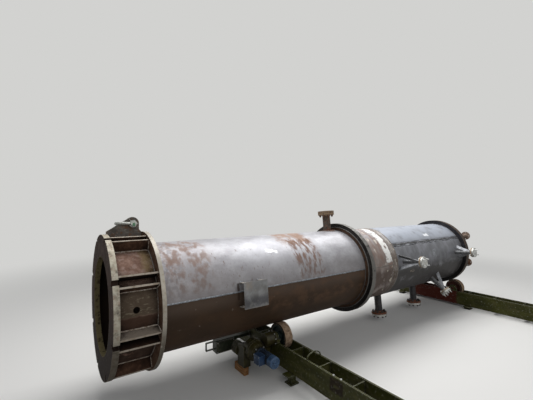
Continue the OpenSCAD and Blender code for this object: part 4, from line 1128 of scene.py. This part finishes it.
@dataclass
class Shell(Group):
    """The vessel's courses, rings and heads, with their seams."""

    coats = ((FIRST_COURSE, "shell_course_1"), (SECOND_COURSE, "shell_course_2"), (BAND, "girth_band"),
             (THIRD_COURSE, "shell_course_3"), (MID_RING, "mid_ring"), (END_RING, "end_ring"),
             (HEAD, "inner_head", "end_head"))
    seam_width: float = 0.015
    seam_height: float = 0.0028
    clock_1: float = -0.4                       # where each course's long seam lies
    clock_2: float = -2.0
    clock_3: float = 29.3

    def seam(self, x_from: float, x_to: float, clock: float, seed: int, width: float) -> Mesh:
        """A seam along the vessel, from just after one ring or girth weld to just before the next."""
        ends = VESSEL.at(np.array([x_from + WELD_GAP, x_to - WELD_GAP]), S.shell_r, clock)
        return line_weld(ends, VESSEL.outward(clock), width, self.seam_height, seed)

    def build(self, shop: Workshop) -> None:
        """Makes the seams and girth welds."""
        collar_x = S.mid_ring_x - S.collar_t
        bright = [self.seam(S.comp_ring_end, collar_x, clock, seed, self.seam_width)
                  for clock, seed in ((self.clock_1, 11), (180.0, 12))]
        shop.piece("long_seams_course_1", join(bright), BRIGHT_WELD, "vessel")
        grey = [self.seam(S.mid_ring_end, S.girth_1, self.clock_2, 13, self.seam_width)]
        grey += [ring_weld(x, S.shell_r, 0.0, 0.020, self.seam_height, seed)
                 for x, seed in ((S.girth_1, 14), (S.girth_2, 15))]
        shop.piece("girth_welds", join(grey), GREY_WELD, "vessel")
        dark = [self.seam(S.girth_2, S.course_3_end, self.clock_3, 16, 0.016)]
        dark += [ring_weld(*row) for row in (
            (collar_x, S.shell_r, -45.0, 0.014, 0.006, 17),
            (S.mid_ring_end, S.shell_r, 45.0, 0.016, 0.007, 18),
            (S.course_3_end, S.shell_r, -45.0, 0.016, 0.007, 19),
            (S.mid_ring_x, S.collar_r, -45.0, 0.012, 0.005, 20),
            (S.end_ring_end, S.shell_r, 45.0, 0.016, 0.007, 21))]
        shop.piece("ring_welds", join(dark), DARK_WELD, "vessel")


@dataclass
class AnchorChairs(Group):
    """The base ring, the paired gussets and the compression ring, with their fillet welds."""

    coats = ((BASE_RING, "base_ring"), (GUSSET, "anchor_gussets"), (COMPRESSION_RING, "compression_ring"),
             (SKIRT, "skirt_course"))
    leg: float = 0.010

    def gusset_welds(self, clock: float, side: int, seed: int) -> list[Mesh]:
        """The fillets along one gusset's root and up its two ends, on its outer face."""
        aside = side * (S.gusset_space / 2 + S.gusset_t)
        away = side * VESSEL.along_clock(clock)
        lift = math.sqrt(S.shell_r ** 2 - aside ** 2)
        root = VESSEL.at(np.array([S.base_ring_t + WELD_GAP, S.comp_ring_x - WELD_GAP]), lift, clock, aside)
        beads = [line_weld(root, VESSEL.outward(clock) + away, 1.5 * self.leg, 0.7 * self.leg, seed)]
        for x, facing in ((S.base_ring_t, 1.0), (S.comp_ring_x, -1.0)):
            ends = VESSEL.at(x, np.array([lift + 0.006, S.gusset_r - WELD_GAP]), clock, aside)
            beads.append(line_weld(ends, away + facing * ALONG, 1.4 * self.leg, 0.6 * self.leg, seed + 1))
        return beads

    def build(self, shop: Workshop) -> None:
        """Makes the chairs' fillets and the rings' own welds."""
        step = 360.0 / S.anchor_count
        beads = []
        for i in range(S.anchor_count):
            for side in (-1, 1):
                beads += self.gusset_welds(step / 2 + i * step, side, 100 + 4 * i + side)
        shop.piece("gusset_fillets", join(beads), PALE_WELD, "vessel")
        rings = [ring_weld(x, S.shell_r, lean, 0.014, 0.006, seed) for x, lean, seed in (
            (S.base_ring_t, 45.0, 31), (S.comp_ring_x, -45.0, 32), (S.comp_ring_end, 45.0, 33))]
        shop.piece("ring_fillets", join(rings), GREY_WELD, "vessel")


@dataclass
class Lug(Group):
    """The tailing lug with its shackle."""

    coats = (LUG, "tailing_lug", "earthing_lug"), (SHACKLE, "shackle_bow")
    core: float = 0.45                          # how much of the pin's end is painted green

    def pin(self) -> Finish:
        """The pin's finish, with a green dot on the middle of its ends."""
        low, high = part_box("shackle_pin")
        low, high = np.array(low), np.array(high)
        reach = self.core * (high - low) / 2
        reach[1] = (high[1] - low[1]) / 2 + 0.01
        dot = tuple(tuple(((low + high) / 2 + way * reach).tolist()) for way in (-1, 1))
        return replace(PIN, patches=(film("#2f6b45", 0.9, Region(box=dot, feather=1.5), rough=0.5),))

    def build(self, shop: Workshop) -> None:
        """Finishes the pin, and makes the fillets along both sides of the lug's foot."""
        shop.dress(self.pin(), "shackle_pin")
        beads = []
        for side in (-1, 1):
            out = VESSEL.outward(90.0) + side * VESSEL.along_clock(90.0)
            ends = VESSEL.at(np.array([S.base_ring_t, S.comp_ring_x]), S.shell_r, 90.0, side * S.lug_t / 2)
            beads.append(line_weld(ends, out, 0.016, 0.007, 40 + side))
        shop.piece("lug_fillets", join(beads), PALE_WELD, "vessel")


@dataclass(frozen=True)
class Bolting:
    """What closes one covered nozzle, in the nozzle's own frame."""

    x: float
    clock: float
    circle: float = 0.190       # diameter of its bolt circle
    count: int = 8
    thread: float = 0.020
    across: float = 0.030       # a nut's width over its flats
    back: float = 0.837         # the flange's back, from the vessel's axis
    face: float = 0.896         # the cover's outer face, from the vessel's axis
    proud: float = 0.030        # how far a stud stands out past that face
    outer_nut: bool = True

    def build(self, seed: int) -> Mesh:
        """Studs with a nut and a washer at each end, each turned and set a little differently."""
        rng = np.random.default_rng(seed)
        height, washer = 0.8 * self.thread, 0.003
        shaft = stud(self.thread, self.back - height - washer - 0.007, self.face + self.proud, 0.0025)
        disc = lathe([(0.0, self.across * 0.55), (washer, self.across * 0.55)], 20)
        nuts = [hexagon(self.across, height, self.back - washer - height),
                stamp(disc, [Matrix.Translation((0, 0, self.back - washer))])]
        if self.outer_nut:
            nuts += [hexagon(self.across, height, self.face + washer),
                     stamp(disc, [Matrix.Translation((0, 0, self.face))])]
        made = []
        for i in range(self.count):
            turn = 2 * math.pi * (i + 0.5) / self.count
            middle = (self.circle / 2 * math.cos(turn), self.circle / 2 * math.sin(turn), 0.0)
            place = VESSEL.nozzle(self.x, self.clock) @ Matrix.Translation(middle)
            made.append(stamp(shaft, [place @ Matrix.Translation((0, 0, rng.uniform(-0.005, 0.0)))]))
            made += [stamp(nut, [place @ Matrix.Rotation(rng.uniform(0, 1), 4, "Z")]) for nut in nuts]
        return join(made)


@dataclass
class Nozzles(Group):
    """The nozzles with their covers, studs and neck welds, and the braces."""

    coats = ((RUSTY_FORGING, "end_nozzles"), (TOP_NOZZLE, "top_nozzle", "top_cover"),
             (SIDE_NOZZLE, "side_nozzle_1", "side_nozzle_2", "side_nozzle_3"),
             (COVER, "side_covers", "drain_covers"), (BRACE, "side_braces"), (DRAIN, "drain_nozzles"))
    sides: tuple[Span, ...] = ((S.first_nozzle_x, 0.0), (S.last_nozzle_x, 0.0), (S.middle_nozzle_x, -45.0))
    drains: Span = (S.first_nozzle_x, S.middle_nozzle_x)

    def build(self, shop: Workshop) -> None:
        """Makes the studs and the welds round the necks."""
        small = Bolting(0.0, 0.0, circle=0.125, count=4, thread=0.016, across=0.024, back=0.832, face=0.879,
                        proud=0.044)
        side = [replace(small, x=x, clock=clock).build(50 + i) for i, (x, clock) in enumerate(self.sides)]
        shop.piece("side_studs", join(side), ZINC, "vessel")
        drain = [Bolting(x, -90.0).build(60 + i) for i, x in enumerate(self.drains)]
        shop.piece("drain_studs", join(drain), BLACK_BOLT, "vessel")
        top = Bolting(S.top_nozzle_x, 90.0, back=0.792, face=0.851, proud=0.0, outer_nut=False)
        shop.piece("top_studs", top.build(70), RUSTY_BOLT, "vessel")
        necks = [neck_weld(x, clock, S.small_neck_r, 0.012, 0.005, 80 + i)
                 for i, (x, clock) in enumerate(self.sides)]
        necks += [neck_weld(x, -90.0, S.large_neck_r, 0.015, 0.006, 84 + i)
                  for i, x in enumerate(self.drains)]
        necks += [head_weld(clock, 0.012, 0.005, 87 + i) for i, clock in enumerate(S.end_nozzle_clocks)]
        shop.piece("neck_welds", join(necks), DARK_WELD, "vessel")
        pad = neck_weld(S.top_nozzle_x, 90.0, S.pad_r, 0.018, 0.010, 90)
        shop.piece("pad_weld", pad, GREY_WELD, "vessel")


@dataclass
class Bracket(Group):
    """The face plate on its two bent straps."""

    coats = (STRAP, "bracket_straps"), (SHEET, "bracket_plate")
    span: float = 0.217
    width: float = 0.045
    feet: Span = (0.089, -0.157)

    def build(self, shop: Workshop) -> None:
        """Makes the fillets across the straps' feet."""
        beads = []
        for i, x in enumerate((S.bracket_x - self.span / 2, S.bracket_x + self.span / 2)):
            for aside in self.feet:
                lift = math.sqrt(S.shell_r ** 2 - aside ** 2)
                ends = VESSEL.at(np.array([x - self.width / 2, x + self.width / 2]), lift, 0.0, aside)
                out = VESSEL.outward(0.0) + math.copysign(1.0, aside) * VESSEL.along_clock(0.0)
                beads.append(line_weld(ends, out, 0.013, 0.006, 92 + i))
        shop.piece("strap_fillets", join(beads), BRIGHT_WELD, "vessel")


@dataclass
class Stand(Group):
    """One roller stand: its side plates, cross plates, feet, bearings and two rollers."""

    name: str
    x: float
    axle_h: float
    axle_y: float
    paint: Finish
    hub: Finish
    plate_out: float = 0.095                     # the middle of a side plate, from the stand's middle
    plate_t: float = 0.020
    cross: tuple[float, ...] = (0.634, 1.054, 1.474, 1.868)
    bolt_out: float = 0.066                      # a bearing's bolts, from its middle
    cap_top: float = 0.055                       # a bearing's top, over its axle
    fillet: Span = (0.062, 0.270)                # a fillet's top and foot, below the axle

    def dress(self, shop: Workshop) -> None:
        """Finishes the stand's nodes."""
        shop.dress(self.paint, self.name + "_frame")
        for finish, part in ((TYRE, "tyre"), (self.hub, "hub")):
            shop.dress(finish, *(f"{self.name}_wheel_{number}_{part}" for number in (1, 2)))

    def bearing_bolts(self) -> Mesh:
        """Two bolts and a grease nipple on each bearing."""
        bolt = join([lathe([(0.0, 0.0105), (0.002, 0.0105)], 16), hexagon(0.017, 0.008, 0.002)])
        nipple = lathe([(-0.002, 0.005), (0.004, 0.005), (0.004, 0.0028), (0.008, 0.0028), (0.010, 0.0042),
                        (0.012, 0.0022)], 12)
        made = []
        for side, near in product((-1, 1), (-1, 1)):
            x, y = self.x + side * self.plate_out, near * self.axle_y
            made += [stamp(bolt, [placed((x, y + way * self.bolt_out, self.axle_h), spin=way * 0.4)])
                     for way in (-1, 1)]
            made.append(stamp(nipple, [placed((x, y, self.axle_h + self.cap_top))]))
        return join(made)

    def plate_welds(self) -> Mesh:
        """Upright fillets where cross plates meet side plates, on the faces that look to the middle."""
        beads = []
        for (i, y), near, side in product(enumerate(self.cross), (-1, 1), (-1, 1)):
            x = self.x + side * (self.plate_out - self.plate_t / 2)
            ends = [np.array([x, near * y, self.axle_h - drop]) for drop in self.fillet]
            out = np.array([-side, -near, 0.0])
            beads.append(line_weld(ends, out, 0.012, 0.005, 200 + 7 * i + near, step=0.005))
        return join(beads)

    def build(self, shop: Workshop) -> None:
        """Makes the bearings' bolts and the frame's fillets."""
        shop.piece(self.name + "_bearing_bolts", self.bearing_bolts(), BLACK_BOLT, "stands")
        shop.piece(self.name + "_frame_fillets", self.plate_welds(), self.paint, "stands")


@dataclass
class Drive(Group):
    """The motor, the gearbox and the switch box on the near stand."""

    coats = ((OLIVE_PAINT, "gearbox"), (BLUE_PAINT, "motor"), (SHADED_BOX_PAINT, "terminal_box"),
             (DARK_BOX, "junction_box"), (TIMBER, "timber_block"))
    motor: Point = (-1.873, -0.36515, 0.27354)   # the middle of its flange face
    body_r: float = 0.057
    fins_y: float = -0.496                       # the middle of the motor's body
    fan_y: float = -0.660
    gear_y: float = -0.245                       # the middle of the gearbox's case
    gear_half: Span = (0.1145, 0.115)            # half its case's width and height
    output: Point = (-1.691, -0.35015, 0.3935)   # the middle of its output flange
    flange_bolt_r: float = 0.0735                # radius of the motor flange's bolt circle
    output_bolt_r: float = 0.081                 # radius of the output flange's bolt circle
    rod: Span = (-1.554, -0.905)                 # where the arched rod stands
    rod_half: float = 0.095
    rod_rise: float = 0.062
    top: float = 0.3475                          # the side plates' top edge
    box: Point = (-2.0325, 0.1435, 0.2075)       # the middle of the switch box's lid
    lid: Point = (-1.9970, -0.487, 0.27754)      # the middle of the terminal box's lid

    def fins(self) -> Mesh:
        """Cooling fins along the motor's body, left out under the terminal box."""
        x, _, z = self.motor
        angles = [a for a in range(0, 360, 12) if not 50 < a < 130]
        frames = round_about(placed((x, self.fins_y, z), "-y"), angles, (0.0, self.body_r + 0.002, 0.0))
        return stamp(rounded_block((0.0026, 0.0085, 0.176), 0.0008), frames)

    def grille(self) -> Mesh:
        """The fan cover's guard: wire hoops over a spoked end, round a raised middle."""
        x, _, z = self.motor
        at = placed((x, self.fan_y, z), "-y")
        spokes = stamp(rounded_block((0.036, 0.003, 0.002), 0.0008),
                       round_about(at, range(0, 360, 45), (0.031, 0.0, 0.0008)))
        hoops = [stamp(hoop(r, 0.0026), [at @ Matrix.Translation((0, 0, 0.001))])
                 for r in (0.018, 0.0245, 0.031, 0.0375, 0.044, 0.050)]
        middle = stamp(lathe([(-0.001, 0.013), (0.002, 0.013), (0.003, 0.011)], 24), [at])
        return join([spokes, middle] + hoops)

    def small_bolts(self) -> Mesh:
        """The lids' screws, and the bolts of the motor, the output flange and the front plate's edge."""
        x, y, z = self.motor
        screw = lathe([(0.0, 0.0045), (0.0025, 0.0042), (0.004, 0.002)], 14)
        _, lid_y, lid_z = self.lid
        box_x, _, box_z = self.box
        out_x, out_y, out_z = self.output
        corners = tuple(product((-1, 1), (-1, 1)))
        near, far = self.flange_bolt_r, self.output_bolt_r
        rows = [
            (screw, [placed((-2.0002, lid_y + a * 0.047, lid_z + b * 0.041), "-x") for a, b in corners]),
            (screw, [placed((box_x + a * 0.108, 0.1412, box_z + b * 0.055), "-y") for a, b in corners]),
            (hexagon(0.016, 0.0075), [placed((x + near * math.cos(t), y, z + near * math.sin(t)), "-y", t)
                                      for t in np.radians((45, 135, 225, 315))]),
            (hexagon(0.011, 0.006), [
                placed((out_x, out_y + far * math.cos(t), out_z + far * math.sin(t)), "-x", t)
                for t in np.radians((-30, 10, 50, 90, 130, 170, 210))]),
            (hexagon(0.019, 0.009), [placed((-1.649, v, self.top), "+z", v) for v in (-1.27, -1.36)]),
        ]
        return join([stamp(mesh, frames) for mesh, frames in rows])

    def fittings(self) -> Mesh:
        """The gearbox's eye bolt and oil plug."""
        x, _, z = self.motor
        wide, high = self.gear_half
        neck = lathe([(-0.003, 0.012), (0.004, 0.012), (0.005, 0.007), (0.010, 0.006)], 18)
        return join([stamp(hoop(0.016, 0.009), [placed((x, self.gear_y, z + high + 0.022), "-x")]),
                     stamp(neck, [placed((x, self.gear_y, z + high))]),
                     stamp(hexagon(0.022, 0.010), [placed((x - wide, self.gear_y, z), "-x")])])

    def build(self, shop: Workshop) -> None:
        """Makes the motor's fins and guard, the lids, the glands, the bolts and the rod over the stand."""
        gland = join([hexagon(0.026, 0.008), lathe([(0.008, 0.011), (0.018, 0.0105), (0.021, 0.007)], 20)])
        glands = stamp(gland, [placed((x, 0.200, 0.1375), "-z") for x in (-2.080, -1.985)])
        turn = np.linspace(0.0, math.pi, 40)
        x, y = self.rod
        arch = np.stack([x - self.rod_half * np.cos(turn), np.full_like(turn, y),
                         self.top + self.rod_rise * np.sin(turn)], -1)
        for name, mesh, finish, slot in (
                ("motor_fins", self.fins(), BLUE_PAINT, "blue_paint"),
                ("fan_guard", self.grille(), BLUE_PAINT, "blue_paint"),
                ("terminal_lid", block((0.007, 0.114, 0.102), 0.0025, self.lid), SHADED_BOX_PAINT, "blue_paint"),
                ("switch_box_lid", join([block((0.236, 0.005, 0.130), 0.002, self.box), glands]), DARK_BOX,
                 "dark_scale"),
                ("gearbox_fittings", self.fittings(), OLIVE_PAINT, "olive_paint"),
                ("drive_small_bolts", self.small_bolts(), ZINC, "galvanised"),
                ("arched_rod", bar(arch, 0.007, (0.0, 1.0, 0.0)), GREEN_PAINT, "green_paint")):
            shop.piece(name, mesh, finish, "stands")


@dataclass
class Studio:
    """The camera, the pale floor and the soft light."""

    eye: Point = (-3.8895, -3.3431, 1.9520)
    yaw: float = math.radians(35.265)
    pitch: float = math.radians(0.756)
    tilt: float = math.radians(0.119)
    focal_px: float = 316.51
    width_px: float = 533.0
    sensor_mm: float = 36.0
    backdrop: str = "#d2d2d0"
    floor_half: float = 60.0
    fade: Span = (3.6, 11.0)                    # where the floor starts to melt into the backdrop, and ends

    def camera(self) -> None:
        """Puts the camera where the photograph's horizon, rings and edges say that it stood."""
        data = bpy.data.cameras.new("camera")
        data.sensor_width = self.sensor_mm
        data.lens = self.sensor_mm * self.focal_px / self.width_px
        data.clip_end = 200.0
        ahead = Vector((math.sin(self.yaw) * math.cos(self.pitch), math.cos(self.yaw) * math.cos(self.pitch),
                        math.sin(self.pitch)))
        right = ahead.cross(Vector((0.0, 0.0, 1.0))).normalized()
        up = right.cross(ahead)
        level_right = math.cos(self.tilt) * right + math.sin(self.tilt) * up
        level_up = math.cos(self.tilt) * up - math.sin(self.tilt) * right
        turn = Matrix((level_right, level_up, -ahead)).transposed().to_4x4()
        holder = link("camera", data)
        holder.matrix_world = Matrix.Translation(self.eye) @ turn
        bpy.context.scene.camera = holder

    def plainly_seen(self, tree: bpy.types.NodeTree) -> Socket:
        """1 for rays that see the stage, straight or in a shiny piece, and 0 for those that light it."""
        ray = add(tree, "LightPath").outputs
        seen = ray["Is Camera Ray"]
        for other in ("Is Glossy Ray", "Is Transmission Ray"):
            seen = add(tree, "Math", {0: seen, 1: ray[other]}, operation="MAXIMUM").outputs[0]
        return seen

    def floor(self) -> None:
        """A wide pale floor that melts into the backdrop's tone far off, so that no horizon shows.

        It throws back less light than it shows, so that the vessel's underside stays dark.
        """
        data = bpy.data.meshes.new("floor")
        corners = self.floor_half * np.array([(-1, -1, 0), (1, -1, 0), (1, 1, 0), (-1, 1, 0)])
        data.from_pydata(corners.tolist(), [], [(0, 1, 2, 3)])
        material = bpy.data.materials.new("pale_floor")
        tree = cleared(material)
        tone = add(tree, "MixRGB", {"Fac": self.plainly_seen(tree), "Color1": linear("#9a9894"),
                                    "Color2": linear("#dddcd9")}).outputs[0]
        near = add(tree, "BsdfPrincipled", {"Base Color": tone, "Roughness": 0.9, "Specular IOR Level": 0.2})
        far = add(tree, "Emission", {"Color": linear(self.backdrop)})
        place = add(tree, "TexCoord").outputs["Object"]
        away = add(tree, "VectorMath", {0: place}, operation="LENGTH").outputs["Value"]
        share = add(tree, "MapRange", {"Value": away, "From Min": self.fade[0], "From Max": self.fade[1]},
                    interpolation_type="SMOOTHSTEP").outputs[0]
        mixed = add(tree, "MixShader", {0: share, 1: near.outputs[0], 2: far.outputs[0]})
        add(tree, "OutputMaterial", {"Surface": mixed.outputs[0]})
        data.materials.append(material)
        made = link("floor", data)

    def softbox(self, name: str, place: Point, aim: Point, size: Span, power: float) -> None:
        """One large soft light."""
        data = bpy.data.lights.new(name, "AREA")
        data.shape = "RECTANGLE"
        data.size, data.size_y = size
        data.energy = power
        made = link(name, data)
        made.location = place
        made.rotation_euler = (Vector(aim) - Vector(place)).to_track_quat("-Z", "Y").to_euler()

    def light(self) -> None:
        """A grey world with a wide box overhead and a weaker one from the camera's side."""
        world = bpy.data.worlds.new("world")
        bpy.context.scene.world = world
        tree = cleared(world)
        lit = add(tree, "Background", {"Color": linear("#e6e8ec"), "Strength": 0.34})
        shown = add(tree, "Background", {"Color": linear(self.backdrop), "Strength": 1.0})
        mixed = add(tree, "MixShader", {0: self.plainly_seen(tree), 1: lit.outputs[0], 2: shown.outputs[0]})
        add(tree, "OutputWorld", {"Surface": mixed.outputs[0]})
        self.softbox("overhead", (0.5, 0.9, 5.6), (0.4, 0.2, 1.0), (9.0, 3.0), 430.0)
        self.softbox("near_side", (-2.0, -6.5, 4.6), (0.0, 0.0, 0.9), (7.0, 2.5), 110.0)

    def build(self) -> None:
        """Makes the floor and the light."""
        self.floor()
        self.light()
        bpy.context.scene.view_settings.view_transform = "Standard"


def main() -> None:
    """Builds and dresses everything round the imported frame."""
    logging.basicConfig(level=logging.INFO, format="%(message)s")
    studio = Studio()
    studio.camera()
    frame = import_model()
    shop = Workshop(frame)
    groups = (
        Shell(), AnchorChairs(), Lug(), Nozzles(), Bracket(), Drive(),
        Stand("drive", x=-1.554, axle_h=0.3935, axle_y=0.35015, paint=GREEN_PAINT, hub=HUB),
        Stand("idler", x=2.744, axle_h=0.33117, axle_y=0.38615, paint=RED_OVER_GREEN, hub=RED_HUB))
    for group in groups:
        group.dress(shop)
        group.build(shop)
    shop.dress(GREEN_PAINT, "stand_feet", "wheel_bearings")
    studio.build()


if __name__ == "__main__":
    main()
